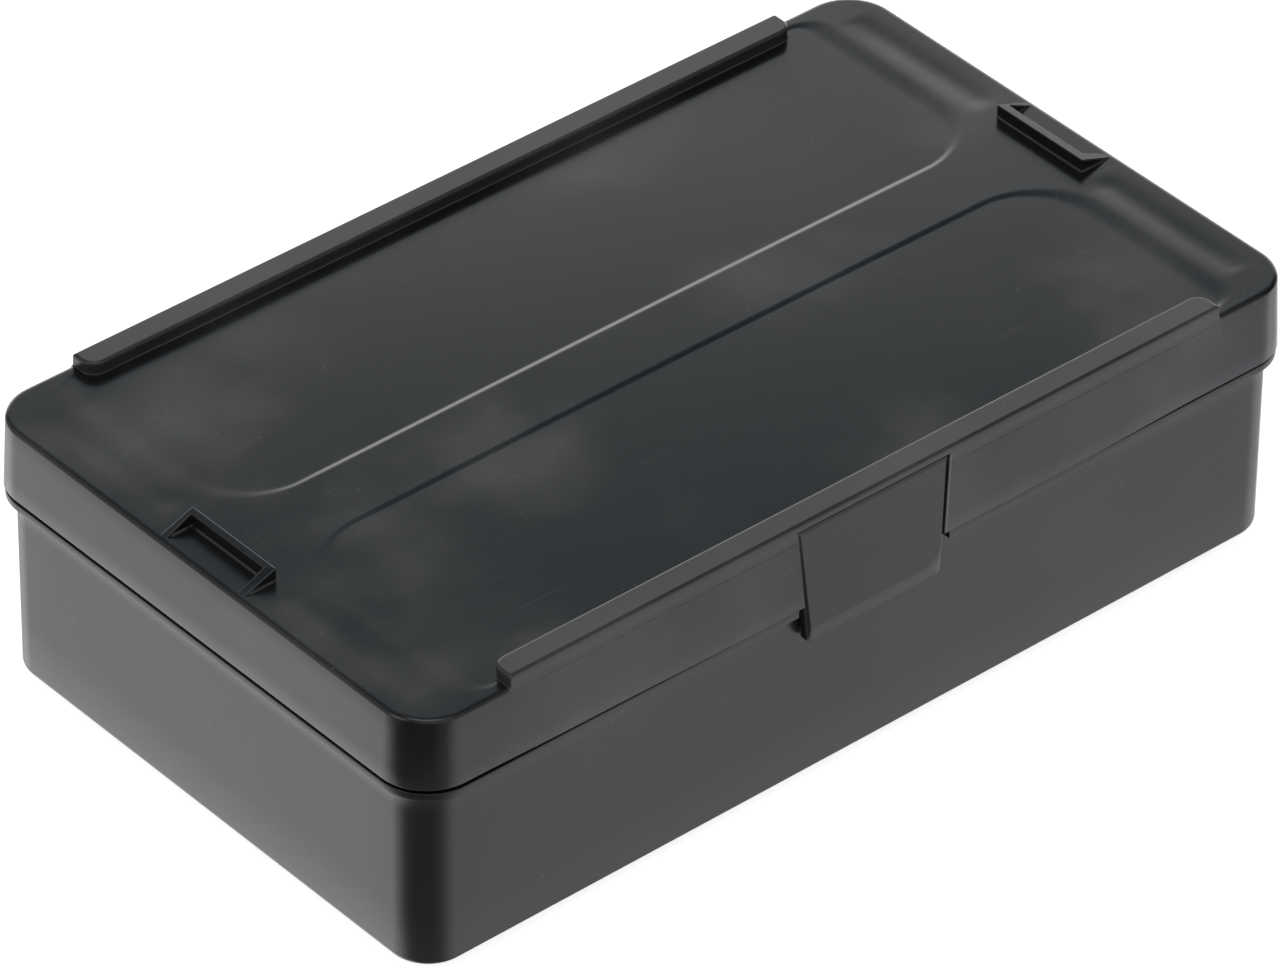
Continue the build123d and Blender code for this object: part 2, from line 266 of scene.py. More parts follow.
def add_stack(mesh: bmesh.types.BMesh, rings: Sequence[Sequence[Vector]]) -> None:
    """Adds a closed solid: rings of points joined in order, its two ends capped."""
    made = [add_ring(mesh, ring) for ring in rings]
    loft(mesh, made)
    add_cap(mesh, list(reversed(made[0])))
    add_cap(mesh, made[-1])


def add_prism(
    mesh: bmesh.types.BMesh,
    along: Along,
    span: Point2,
    outline: Sequence[Point2],
    holes: Sequence[Sequence[Point2]] = (),
) -> None:
    """Adds a closed prism to a mesh.

    Args:
        mesh: The mesh that gets the prism.
        along: The axis that the outline is drawn out along.
        span: Start and end along that axis.
        outline: The prism's outline.
        holes: Outlines of the bores that run through it.
    """
    ends: list[list[bmesh.types.BMEdge]] = [[], []]
    for loop in (outline, *holes):
        rings = [add_ring(mesh, [along.point(spot, reach) for spot in loop]) for reach in span]
        loft(mesh, rings)
        for end, ring in zip(ends, rings):
            end += [mesh.edges.get((ring[i - 1], ring[i])) for i in range(len(ring))]
    for end in ends:
        bmesh.ops.triangle_fill(mesh, use_beauty=True, use_dissolve=True, edges=end)


def arc(
    middle: Point2, radius: float, start: float, end: float, steps: int
) -> list[Point2]:
    """Points of an arc from one angle to another, in radians, both ends included."""
    angles = [start + (end - start) * step / steps for step in range(steps + 1)]
    return [(middle[0] + radius * math.cos(a), middle[1] + radius * math.sin(a)) for a in angles]


def circle(middle: Point2, radius: float, steps: int = 48) -> list[Point2]:
    """Points round a circle."""
    return arc(middle, radius, 0.0, 2 * math.pi, steps)[:-1]


def rounded_box(
    low: Point2, high: Point2, radii: Sequence[float], height: float, steps: int = 10
) -> list[Vector]:
    """One level ring round a rectangle with four rounded corners.

    Args:
        low: Lowest X and Y.
        high: Highest X and Y.
        radii: Corner radii, counterclockwise from the lowest corner.
        height: The ring's height.
        steps: Facets of each corner.

    Returns:
        The ring's points.
    """
    signs = ((-1, -1), (1, -1), (1, 1), (-1, 1))
    points = []
    for turn, ((sx, sy), radius) in enumerate(zip(signs, radii)):
        x = (high[0] if sx > 0 else low[0]) - sx * radius
        y = (high[1] if sy > 0 else low[1]) - sy * radius
        start = math.pi + turn * QUARTER
        points += arc((x, y), radius, start, start + QUARTER, steps)
    return [Vector((x, y, height)) for x, y in points]


def smooth_step(value: float) -> float:
    """Eases from 0 to 1 as the value goes from 0 to 1."""
    share = min(1.0, max(0.0, value))
    return share * share * (3 - 2 * share)


def make_object(name: str, mesh: bmesh.types.BMesh, sharp: float = 35.0) -> bpy.types.Object:
    """Turns a built mesh into an object with outward faces and smooth rounds.

    Args:
        name: The object's name.
        mesh: The built mesh, which is freed.
        sharp: Edges that turn by more than this many degrees stay sharp.

    Returns:
        The object, linked to the scene.
    """
    bmesh.ops.recalc_face_normals(mesh, faces=mesh.faces)
    data = bpy.data.meshes.new(name)
    mesh.to_mesh(data)
    mesh.free()
    return link_object(name, data, sharp)


def link_object(name: str, data: bpy.types.Mesh, sharp: float = 35.0) -> bpy.types.Object:
    """Links a mesh to the scene, smooth except where an edge turns sharply."""
    data.name = name
    data.shade_smooth()
    data.set_sharp_from_angle(angle=math.radians(sharp))
    made = bpy.data.objects.new(name, data)
    bpy.context.scene.collection.objects.link(made)
    return made


def settle(piece: bpy.types.Object, sharp: float = 35.0) -> bpy.types.Object:
    """Replaces an object's mesh with what its modifiers make of it, and removes them."""
    bpy.context.view_layer.update()
    shown = piece.evaluated_get(bpy.context.evaluated_depsgraph_get())
    data = bpy.data.meshes.new_from_object(shown)
    piece.modifiers.clear()
    piece.data = data
    data.name = piece.name
    data.shade_smooth()
    data.set_sharp_from_angle(angle=math.radians(sharp))
    return piece


def cut_away(piece: bpy.types.Object, cutter: bpy.types.Object) -> None:
    """Cuts a closed cutter out of a piece."""
    cut = piece.modifiers.new("Window", "BOOLEAN")
    cut.operation, cut.solver, cut.object = "DIFFERENCE", "EXACT", cutter
    settle(piece)


def round_edges(piece: bpy.types.Object, width: float, segments: int = 2) -> None:
    """Rounds a piece's sharp edges with a live Bevel modifier."""
    bevel = piece.modifiers.new("Edge rounding", "BEVEL")
    bevel.width, bevel.segments = width, segments
    bevel.limit_method, bevel.angle_limit = "ANGLE", math.radians(40)
    bevel.harden_normals = True
    bevel.miter_outer = "MITER_ARC"


def cad_copy(name: str, node: bpy.types.Object) -> bpy.types.Object:
    """Makes a tidy copy of a CAD node: joined triangles, flat faces made whole again."""
    mesh = bmesh.new()
    mesh.from_mesh(node.data)
    bmesh.ops.remove_doubles(mesh, verts=mesh.verts, dist=0.002 * MM)
    bmesh.ops.dissolve_limit(
        mesh, angle_limit=math.radians(0.5), verts=mesh.verts, edges=mesh.edges
    )
    return make_object(name, mesh)


# ---------------------------------------------------------------------------- geometry nodes
class BarShape(Enum):
    """What stands at each point of a row."""

    BAR = "bar"
    DISC = "disc"


def new_geometry_tree(name: str, sizes: dict[str, str]) -> bpy.types.NodeTree:
    """Starts a Geometry Nodes tree with a geometry input and output and named sizes.

    Args:
        name: The tree's name.
        sizes: Input names, each with its socket type.

    Returns:
        The tree, with its Group Input and Group Output nodes.
    """
    tree = bpy.data.node_groups.new(name, "GeometryNodeTree")
    tree.interface.new_socket("Geometry", in_out="INPUT", socket_type="NodeSocketGeometry")
    for label, kind in sizes.items():
        tree.interface.new_socket(label, in_out="INPUT", socket_type=kind)
    tree.interface.new_socket("Geometry", in_out="OUTPUT", socket_type="NodeSocketGeometry")
    tree.nodes.new("NodeGroupInput")
    tree.nodes.new("NodeGroupOutput")
    return tree


def close_geometry_tree(tree: bpy.types.NodeTree, shape: bpy.types.NodeSocket) -> None:
    """Ends a tree in Realize Instances and Set Material."""
    given, result = tree.nodes["Group Input"], tree.nodes["Group Output"]
    real = tree.nodes.new("GeometryNodeRealizeInstances")
    paint = tree.nodes.new("GeometryNodeSetMaterial")
    tree.links.new(shape, real.inputs["Geometry"])
    tree.links.new(real.outputs["Geometry"], paint.inputs["Geometry"])
    tree.links.new(given.outputs["Material"], paint.inputs["Material"])
    tree.links.new(paint.outputs["Geometry"], result.inputs["Geometry"])


def detail_tree(shape: BarShape) -> bpy.types.NodeTree:
    """Builds the tree that stands a bar or a disc at each point it is given."""
    tree = new_geometry_tree(
        f"moulded {shape.value}s",
        {"Size": "NodeSocketVector", "Material": "NodeSocketMaterial"},
    )
    given = tree.nodes["Group Input"]
    stand = tree.nodes.new("GeometryNodeInstanceOnPoints")
    if shape is BarShape.BAR:
        form = tree.nodes.new("GeometryNodeMeshCube")
        tree.links.new(given.outputs["Size"], form.inputs["Size"])
    else:
        form = tree.nodes.new("GeometryNodeMeshCylinder")
        form.inputs["Vertices"].default_value = 24
        parts = tree.nodes.new("ShaderNodeSeparateXYZ")
        tree.links.new(given.outputs["Size"], parts.inputs[0])
        tree.links.new(parts.outputs["X"], form.inputs["Radius"])
        tree.links.new(parts.outputs["Z"], form.inputs["Depth"])
    tree.links.new(given.outputs["Geometry"], stand.inputs["Points"])
    tree.links.new(form.outputs["Mesh"], stand.inputs["Instance"])
    close_geometry_tree(tree, stand.outputs["Instances"])
    return tree


def foot_round_tree() -> bpy.types.NodeTree:
    """Builds the tree that runs a small diamond-shaped bead along a closed path."""
    tree = new_geometry_tree(
        "foot round",
        {
            "Bead": "NodeSocketFloat",
            "Turn": "NodeSocketFloat",
            "Material": "NodeSocketMaterial",
        },
    )
    given = tree.nodes["Group Input"]
    path = tree.nodes.new("GeometryNodeMeshToCurve")
    bend = tree.nodes.new("GeometryNodeFilletCurve")
    bend.mode = "POLY"
    bend.inputs["Count"].default_value = 5
    ring = tree.nodes.new("GeometryNodeCurvePrimitiveCircle")
    ring.inputs["Resolution"].default_value = 4
    sweep = tree.nodes.new("GeometryNodeCurveToMesh")
    tree.links.new(given.outputs["Geometry"], path.inputs["Mesh"])
    tree.links.new(path.outputs["Curve"], bend.inputs["Curve"])
    tree.links.new(given.outputs["Turn"], bend.inputs["Radius"])
    tree.links.new(given.outputs["Bead"], ring.inputs["Radius"])
    tree.links.new(bend.outputs["Curve"], sweep.inputs["Curve"])
    tree.links.new(ring.outputs["Curve"], sweep.inputs["Profile Curve"])
    close_geometry_tree(tree, sweep.outputs["Mesh"])
    return tree


def grow(
    name: str,
    points: Sequence[Vector],
    tree: bpy.types.NodeTree,
    values: dict[str, object],
    closed_path: bool = False,
) -> bpy.types.Object:
    """Runs a Geometry Nodes tree on points or a closed path and keeps the plain mesh.

    Args:
        name: The object's name.
        points: The points, or the path's corners in order.
        tree: The tree to run.
        values: The tree's inputs by name.
        closed_path: Whether the points are joined into a closed path.

    Returns:
        The object, without its modifier.
    """
    count = len(points)
    edges = [(i, (i + 1) % count) for i in range(count)] if closed_path else []
    data = bpy.data.meshes.new(name)
    data.from_pydata([tuple(point) for point in points], edges, [])
    piece = bpy.data.objects.new(name, data)
    bpy.context.scene.collection.objects.link(piece)
    nodes = piece.modifiers.new("Detail", "NODES")
    nodes.node_group = tree
    for item in tree.interface.items_tree:
        if item.in_out == "INPUT" and item.name in values:
            nodes[item.identifier] = values[item.name]
    return settle(piece)


# ---------------------------------------------------------------------------- shader groups
class NodeBench:
    """Adds and links the nodes of one shader tree."""

    def __init__(self, tree: bpy.types.NodeTree) -> None:
        """Works on a tree, which may be a group or a material's own."""
        self.tree = tree

    def add(
        self, kind: str, values: dict[str | int, object] | None = None, **settings: object
    ) -> bpy.types.Node:
        """Adds a node.

        Args:
            kind: The node's type.
            values: Input names or numbers, each with a value or a socket to link.
            **settings: Properties of the node.

        Returns:
            The node.
        """
        node = self.tree.nodes.new(kind)
        for key, setting in settings.items():
            setattr(node, key, setting)
        for key, value in (values or {}).items():
            if isinstance(value, bpy.types.NodeSocket):
                self.tree.links.new(value, node.inputs[key])
            else:
                node.inputs[key].default_value = value
        return node

    def maths(self, operation: str, *values: object) -> bpy.types.NodeSocket:
        """Adds a Math node and gives its result."""
        return self.add("ShaderNodeMath", dict(enumerate(values)), operation=operation).outputs[0]

    def ramp(self, value: bpy.types.NodeSocket, low: float, high: float) -> bpy.types.NodeSocket:
        """Maps a value from low..high to 0..1, eased at both ends."""
        spread = {"Value": value, "From Min": low, "From Max": high}
        node = self.add("ShaderNodeMapRange", spread, interpolation_type="SMOOTHSTEP")
        return node.outputs["Result"]

    def noise(
        self, place: bpy.types.NodeSocket, scale: object, detail: float
    ) -> bpy.types.NodeSocket:
        """Adds a noise texture and gives its factor."""
        values = {"Vector": place, "Scale": scale, "Detail": detail}
        return self.add("ShaderNodeTexNoise", values).outputs["Fac"]

    def mix(self, share: object, first: object, second: object) -> bpy.types.NodeSocket:
        """Mixes two colours."""
        node = self.add("ShaderNodeMix", {"Factor": share}, data_type="RGBA")
        for key, value in ((6, first), (7, second)):
            if isinstance(value, bpy.types.NodeSocket):
                self.tree.links.new(value, node.inputs[key])
            else:
                node.inputs[key].default_value = (*value, 1.0)
        return node.outputs[2]


def new_shader_group(
    name: str, inputs: dict[str, float], outputs: Sequence[str]
) -> tuple[bpy.types.NodeTree, NodeBench, bpy.types.Node, bpy.types.Node]:
    """Starts a shader node group with float inputs and outputs."""
    tree = bpy.data.node_groups.new(name, "ShaderNodeTree")
    for label, value in inputs.items():
        socket = tree.interface.new_socket(label, in_out="INPUT", socket_type="NodeSocketFloat")
        socket.default_value = value
    for label in outputs:
        tree.interface.new_socket(label, in_out="OUTPUT", socket_type="NodeSocketFloat")
    bench = NodeBench(tree)
    return tree, bench, bench.add("NodeGroupInput"), bench.add("NodeGroupOutput")


def moulded_grain_group() -> bpy.types.NodeTree:
    """Fine grain of a moulded or machined skin: a height and a gloss variation."""
    tree, bench, given, result = new_shader_group(
        "moulded grain", {"Scale": 2600.0, "Ripple Scale": 45.0, "Ripple": 0.3}, ("Height", "Gloss")
    )
    place = bench.add("ShaderNodeTexCoord").outputs["Object"]
    fine = bench.noise(place, given.outputs["Scale"], 2.0)
    ripple = bench.noise(place, given.outputs["Ripple Scale"], 2.0)
    height = bench.maths("MULTIPLY_ADD", ripple, given.outputs["Ripple"], fine)
    tree.links.new(height, result.inputs["Height"])
    tree.links.new(fine, result.inputs["Gloss"])
    return tree


def rubbed_edge_group() -> bpy.types.NodeTree:
    """Wear along edges: 1 where an edge is rubbed, broken up by noise."""
    tree, bench, given, result = new_shader_group(
        "rubbed edge", {"Width": 0.4 * MM, "Breakup": 420.0}, ("Wear",)
    )
    place = bench.add("ShaderNodeTexCoord").outputs["Object"]
    rounded = bench.add("ShaderNodeBevel", {"Radius": given.outputs["Width"]}, samples=6)
    facing = bench.add("ShaderNodeNewGeometry").outputs["Normal"]
    product = bench.add(
        "ShaderNodeVectorMath", {0: rounded.outputs[0], 1: facing}, operation="DOT_PRODUCT"
    )
    turned = bench.maths("SUBTRACT", 1.0, product.outputs["Value"])
    edge = bench.ramp(turned, 0.01, 0.22)
    patches = bench.ramp(bench.noise(place, given.outputs["Breakup"], 4.0), 0.35, 0.7)
    tree.links.new(bench.maths("MULTIPLY", edge, patches), result.inputs["Wear"])
    return tree


def handling_group() -> bpy.types.NodeTree:
    """Traces of use: soft hazy patches, fine scratches and sparse specks of dust."""
    tree, bench, given, result = new_shader_group(
        "handling marks",
        {"Patch Scale": 26.0, "Scratch Scale": 60.0, "Speck Scale": 420.0},
        ("Haze", "Scratches", "Specks"),
    )
    place = bench.add("ShaderNodeTexCoord").outputs["Object"]
    patches = bench.noise(place, given.outputs["Patch Scale"], 5.0)
    drawn = bench.add(
        "ShaderNodeMapping", {"Vector": place, "Rotation": (0, 0, 0.45), "Scale": (1, 22, 22)}
    )
    lines = bench.noise(drawn.outputs["Vector"], given.outputs["Scratch Scale"], 4.0)
    specks = bench.add(
        "ShaderNodeTexVoronoi",
        {"Vector": place, "Scale": given.outputs["Speck Scale"], "Randomness": 1.0},
    )
    chosen = bench.maths("GREATER_THAN", bench.noise(place, 210.0, 0.0), 0.7)
    dots = bench.maths("LESS_THAN", specks.outputs["Distance"], 0.12)
    tree.links.new(bench.ramp(patches, 0.45, 0.75), result.inputs["Haze"])
    tree.links.new(bench.ramp(lines, 0.6, 0.78), result.inputs["Scratches"])
    tree.links.new(bench.maths("MULTIPLY", dots, chosen), result.inputs["Specks"])
    return tree


@dataclass(frozen=True)
class FinishGroups:
    """The shader groups that the finishes share."""

    grain: bpy.types.NodeTree
    wear: bpy.types.NodeTree
    handling: bpy.types.NodeTree

    @classmethod
    def build(cls) -> FinishGroups:
        """Builds each group once."""
        return cls(moulded_grain_group(), rubbed_edge_group(), handling_group())


# ---------------------------------------------------------------------------- finishes
@dataclass(frozen=True)
class MouldedPlastic:
    """Injection-moulded plastic, from satin to polished, with traces of use."""

    name: str
    colour: Colour
    rubbed_colour: Colour
    roughness: float = 0.32
    gloss_spread: float = 0.06
    grain_scale: float = 2600.0
    grain_depth: float = 0.08
    ripple: float = 0.5
    haze: float = 0.1
    scratches: float = 0.05
    wear: float = 0.5
    specular: float = 0.5
    dust: Colour = (0.22, 0.22, 0.21)
    specks: float = 0.12
    haze_dulling: float = 0.9
    wear_dulling: float = 0.15

    def build(self, groups: FinishGroups) -> bpy.types.Material:
        """Builds the material.

        Args:
            groups: The shared shader groups.

        Returns:
            The material.
        """
        material = bpy.data.materials.new(self.name)
        material.use_nodes = True
        bench = NodeBench(material.node_tree)
        shader = material.node_tree.nodes["Principled BSDF"]
        grain = bench.add(
            "ShaderNodeGroup",
            {"Scale": self.grain_scale, "Ripple Scale": 45.0, "Ripple": self.ripple},
            node_tree=groups.grain,
        )
        wear = bench.add(
            "ShaderNodeGroup", {"Width": 0.4 * MM, "Breakup": 420.0}, node_tree=groups.wear
        )
        marks = bench.add("ShaderNodeGroup", node_tree=groups.handling)
        worn = bench.maths("MULTIPLY", wear.outputs["Wear"], self.wear)
        hazy = bench.maths("MULTIPLY", marks.outputs["Haze"], self.haze)
        dusty = bench.maths("MULTIPLY_ADD", marks.outputs["Specks"], self.specks, hazy)
        shown = bench.mix(dusty, self.colour, self.dust)
        shown = bench.mix(worn, shown, self.rubbed_colour)
        gloss, height = grain.outputs["Gloss"], grain.outputs["Height"]
        spread = bench.maths("MULTIPLY_ADD", gloss, self.gloss_spread, self.roughness)
        scuffed = bench.maths("MULTIPLY_ADD", marks.outputs["Scratches"], self.scratches, spread)
        rough = bench.maths("MULTIPLY_ADD", hazy, self.haze_dulling, scuffed)
        rough = bench.maths("MULTIPLY_ADD", worn, self.wear_dulling, rough)
        bump = bench.add(
            "ShaderNodeBump",
            {"Strength": self.grain_depth, "Distance": 0.05 * MM, "Height": height},
        )
        links = material.node_tree.links
        links.new(shown, shader.inputs["Base Color"])
        links.new(rough, shader.inputs["Roughness"])
        links.new(bump.outputs["Normal"], shader.inputs["Normal"])
        shader.inputs["Specular IOR Level"].default_value = self.specular
        shader.inputs["IOR"].default_value = 1.5
        return material


@dataclass(frozen=True)
class GroundSteel:
    """Centreless-ground steel pin stock."""

    name: str
    colour: Colour = (0.52, 0.52, 0.5)
    tarnish: Colour = (0.3, 0.27, 0.24)
    bared: Colour = (0.7, 0.7, 0.69)

    def build(self, groups: FinishGroups) -> bpy.types.Material:
        """Builds the material from the shared groups."""
        material = bpy.data.materials.new(self.name)
        material.use_nodes = True
        bench = NodeBench(material.node_tree)
        shader = material.node_tree.nodes["Principled BSDF"]
        grain = bench.add(
            "ShaderNodeGroup",
            {"Scale": 5200.0, "Ripple Scale": 600.0, "Ripple": 0.6},
            node_tree=groups.grain,
        )
        wear = bench.add("ShaderNodeGroup", {"Width": 0.2 * MM}, node_tree=groups.wear)
        marks = bench.add("ShaderNodeGroup", {"Patch Scale": 380.0}, node_tree=groups.handling)
        dull = bench.mix(marks.outputs["Haze"], self.colour, self.tarnish)
        shown = bench.mix(wear.outputs["Wear"], dull, self.bared)
        rough = bench.maths("MULTIPLY_ADD", marks.outputs["Haze"], 0.2, 0.24)
        rough = bench.maths("MULTIPLY_ADD", grain.outputs["Gloss"], 0.1, rough)
        bump = bench.add(
            "ShaderNodeBump",
            {"Strength": 0.15, "Distance": 0.02 * MM, "Height": grain.outputs["Height"]},
        )
        links = material.node_tree.links
        links.new(shown, shader.inputs["Base Color"])
        links.new(rough, shader.inputs["Roughness"])
        links.new(bump.outputs["Normal"], shader.inputs["Normal"])
        shader.inputs["Metallic"].default_value = 1.0
        return material


@dataclass(frozen=True)
class Finishes:
    """Every material of the toolbox."""

    base: bpy.types.Material
    lid: bpy.types.Material
    rail: bpy.types.Material
    rubbed: bpy.types.Material
    latch: bpy.types.Material
    tray: bpy.types.Material
    divider: bpy.types.Material
    steel: bpy.types.Material

    @classmethod
    def build(cls) -> Finishes:
        """Builds the finishes from their shared groups."""
        groups = FinishGroups.build()
        worn = (0.075, 0.074, 0.072)
        return cls(
            base=MouldedPlastic(
                "base_black_satin", (0.007, 0.0068, 0.007), worn, roughness=0.28, haze=0.03
            ).build(groups),
            lid=MouldedPlastic(
                "lid_black_polished", (0.006, 0.0062, 0.0066), worn, roughness=0.17, haze=0.11
            ).build(groups),
            # The rails' edges wear more than the lid's, and their lighter colour paints in the
            # extra sheen that their rougher tops catch.
            rail=MouldedPlastic(
                "rail_black_rubbed", (0.02, 0.02, 0.021), worn, roughness=0.34, haze=0.12, wear=0.8
            ).build(groups),
            # Light grey that paints a highlight along the window's right-hand edge.
            rubbed=MouldedPlastic(
                "window_edge_rubbed", (0.09, 0.089, 0.087), worn, roughness=0.4, haze=0.2, wear=0.0
            ).build(groups),
            latch=MouldedPlastic(
                "latch_black_satin", (0.007, 0.0068, 0.007), worn, roughness=0.28, haze=0.03
            ).build(groups),
            tray=MouldedPlastic(
                "tray_black_grained", (0.02, 0.02, 0.021), worn, roughness=0.42, grain_depth=0.2
            ).build(groups),
            divider=MouldedPlastic(
                "divider_grey", (0.09, 0.092, 0.095), (0.2, 0.2, 0.2), roughness=0.45
            ).build(groups),
            steel=GroundSteel("pin_ground_steel").build(groups),
        )


def dress(
    piece: bpy.types.Object, finish: bpy.types.Material, body: str
) -> bpy.types.Object:
    """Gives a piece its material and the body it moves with.

    Args:
        piece: The finished piece.
        finish: Its material.
        body: The CAD body that it rides on.

    Returns:
        The piece.
    """
    piece.data.materials.clear()
    piece.data.materials.append(finish)
    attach(piece, body)
    LOG.info("%s: %d faces, rides on %s", piece.name, len(piece.data.polygons), body)
    return piece


# ---------------------------------------------------------------------------- lid
@dataclass(frozen=True)
class Lid:
    """Lid with a drafted skirt, two sunk panels, two stacking rails and two end stops."""

    places: CasePlaces
    finishes: Finishes
    wall: float = 1.8 * MM
    top_thickness: float = 2.13 * MM
    edge_round: float = 0.7 * MM
    lip_round: float = 0.25 * MM
    fine: float = 0.32 * MM
    coarse: float = 6.0 * MM
    corner_steps: int = 24
    fine_end: float = 61.0 * MM
    fine_middle: tuple[float, float] = (5.4 * MM, 20.5 * MM)
    panel_depth: float = 0.17 * MM
    panel_half_length: float = 77.0 * MM
    panel_start: float = 6.4 * MM
    panel_end: float = 50.0 * MM
    panel_inner_corner: float = 13.0 * MM
    panel_outer_corner: float = 4.0 * MM
    panel_edge: float = 0.5 * MM
    panel_end_edge: float = 4.5 * MM
    panel_end_depth: float = 0.1 * MM
    shallow_from: float = 50.0 * MM
    shallow_run: float = 26.0 * MM
    left_softness: float = 0.35
    crown: float = 0.5 * MM
    valley_x: float = 82.8 * MM
    valley_depth: float = 0.09 * MM
    valley_half: float = 2.4 * MM
    valley_from: float = 12.0 * MM
    valley_to: float = 46.0 * MM
    valley_fade: float = 4.0 * MM
    open_gap: float = 0.35 * MM
    rail_half_length: float = 72.0 * MM
    rail_width: float = 4.7 * MM
    rail_corner: float = 2.5 * MM
    rail_round: float = 0.5 * MM
    rail_foot: float = 0.4 * MM
    notch_drop: float = 1.0 * MM
    stop_web: float = 83.4 * MM
    stop_half_width: float = 10.0 * MM
    stop_wall: float = 1.4 * MM
    stop_reach: float = 6.5 * MM
    stop_drop: float = 0.15 * MM  # keeps the rounded stops inside the CAD box
    stop_bead: float = 0.35 * MM
    window_gap: float = 0.05 * MM
    window_bead: float = 0.28 * MM
    knuckle_half: float = 5.5 * MM
    knuckle_radius: float = 2.65 * MM
    bore_radius: float = 1.3 * MM
    gusset: float = 8.0 * MM
    heel_reach: float = 0.8 * MM
    heel_half: float = 0.7 * MM
    heel_turn: float = math.radians(-30)

    def build(self) -> None:
        """Builds and dresses every piece of the lid."""
        cutter = self.window_cutter()
        shell = self.shell()
        front, back = self.rail("rail_front", -1), self.rail("rail_back", 1)
        for cut in (shell, front):
            cut_away(cut, cutter)
        bpy.data.objects.remove(cutter)
        for cut in (shell, front):
            round_edges(cut, 0.1 * MM)
        stops = [self.end_stop("end_stop_left", -1), self.end_stop("end_stop_right", 1)]
        for piece in (shell, *stops, self.knuckles(), self.under_ribs(), self.marks()):
            dress(piece, self.finishes.lid, "lid")
        for rail in (front, back):
            dress(rail, self.finishes.rail, "lid")
        # The window's edge round is painted light grey as a highlight.
        dress(self.window_edge(), self.finishes.rubbed, "lid")
        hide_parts("lid")

    def panel_distance(self, x: float, y: float) -> tuple[float, float]:
        """Distance to a sunk panel's outline, and how much its nearest edge faces the lid's end.

        Args:
            x: Place along the lid.
            y: Place across the lid.

        Returns:
            The distance, negative inside the panel, and a share from 0 to 1.
        """
        half_y = (self.panel_end - self.panel_start) / 2
        across = abs(y) - self.panel_start - half_y
        corner = self.panel_inner_corner if across < 0 else self.panel_outer_corner
        qx = abs(x) - self.panel_half_length + corner
        qy = abs(across) - half_y + corner
        outside = math.hypot(max(qx, 0.0), max(qy, 0.0))
        inside = min(max(qx, qy), 0.0)
        facing = max(qx, 0.0) / outside if outside > 0 else float(qx > qy)
        return outside + inside - corner, facing

    def deck_height(self, x: float, y: float) -> float:
        """Height of the lid's top: its rim, its sunk panels and the valleys beside the ends."""
        distance, facing = self.panel_distance(x, y)
        edge = self.panel_edge + (self.panel_end_edge - self.panel_edge) * facing**2
        shallow = smooth_step((abs(x) - self.shallow_from) / self.shallow_run)
        crisp = 1.0 if x > 0 else self.left_softness
        depth = self.panel_depth + (self.panel_end_depth * crisp - self.panel_depth) * shallow
        sunk = depth * smooth_step(0.5 - distance / edge)
        half_x, half_y = self.places.half_length, self.places.half_width
        crown = self.crown * max(0.0, 1 - (x / half_x) ** 2) * max(0.0, 1 - (y / half_y) ** 2)
        side = (abs(x) - self.valley_x) / self.valley_half
        run = smooth_step((abs(y) - self.valley_from) / self.valley_fade)
        run *= smooth_step((self.valley_to - abs(y)) / self.valley_fade)
        valley = self.valley_depth * crisp * math.exp(-side * side) * run
        return self.places.lid_rim - sunk + crown - valley

    def skirt_sag(self, station: Station) -> float:
        """How far the skirt's lower edge comes down from its nominal height.

        The gap closes along the middle of the front and stands open round the left end.
        """
        opened = smooth_step((1.0 - station.ny) / 0.8)
        if station.ny == -1:
            closed = self.places.closing(station.u)
            opened = smooth_step((-0.72 - station.u) / 0.28)
            return closed * (self.places.parting_gap - 0.03 * MM) - self.open_gap * opened
        return -self.open_gap * (opened if station.u < 0 else 0.0)

    def notched(self, station: Station) -> bool:
        """Whether a rail stands on the skirt at this station."""
        on_long_side = abs(station.ny) == 1
        place = abs(station.u) * self.places.core.half_x
        return on_long_side and place < self.rail_half_length - 0.01 * MM

    def edge_points(self, deck_reach: float, notched: bool) -> list[Point2]:
        """Reach and height from the deck's border round the upper edge to the skirt.

        Args:
            deck_reach: Reach of the deck's border.
            notched: Whether the skirt stops below a rail that carries its face on.

        Returns:
            Five points, the last one on the skirt's face.
        """
        rim = self.places.lid_rim
        ledge = rim - self.notch_drop
        face = self.places.skirt_reach(ledge)
        if notched:
            return [
                (deck_reach, rim - self.notch_drop / 2),
                (deck_reach, ledge + 0.01 * MM),
                (deck_reach + 0.01 * MM, ledge),
                (face - 0.02 * MM, ledge),
                (face, ledge - 0.02 * MM),
            ]
        middle = (deck_reach, rim - self.edge_round)
        turned = arc(middle, self.edge_round, QUARTER, 0.0, 5)[1:]
        return [(reach + self.skirt_slip(height), height) for reach, height in turned]

    def skirt_slip(self, height: float) -> float:
        """Small correction that lays the rounded edge onto the drafted face."""
        start = self.places.lid_rim - self.edge_round
        return (self.places.skirt_reach(height) - self.places.skirt_reach(start)) / 2

    def shell(self) -> bpy.types.Object:
        """Builds the lid's closed shell: its top, edges, skirt and inside."""
        places, core = self.places, self.places.core
        rail_lines = [self.rail_half_length - 0.05 * MM, self.rail_half_length]
        x_half = [0.0, *steps_between(self.coarse, self.fine_end, self.coarse)]
        x_half += steps_between(self.fine_end, rail_lines[0], self.fine) + rail_lines
        x_half += steps_between(rail_lines[1] + self.fine, core.half_x, self.fine)
        y_half = [0.0, 2 * MM, 4 * MM, *steps_between(*self.fine_middle, self.fine)]
        y_half += steps_between(self.fine_middle[1], core.half_y, self.coarse)
        x_lines = mirrored_lines([*x_half, core.half_x])
        y_lines = mirrored_lines([*y_half, core.half_y])
        u_lines = [x / core.half_x for x in x_lines]
        v_lines = [y / core.half_y for y in y_lines]
        stations = stations_around(u_lines, v_lines, self.corner_steps)

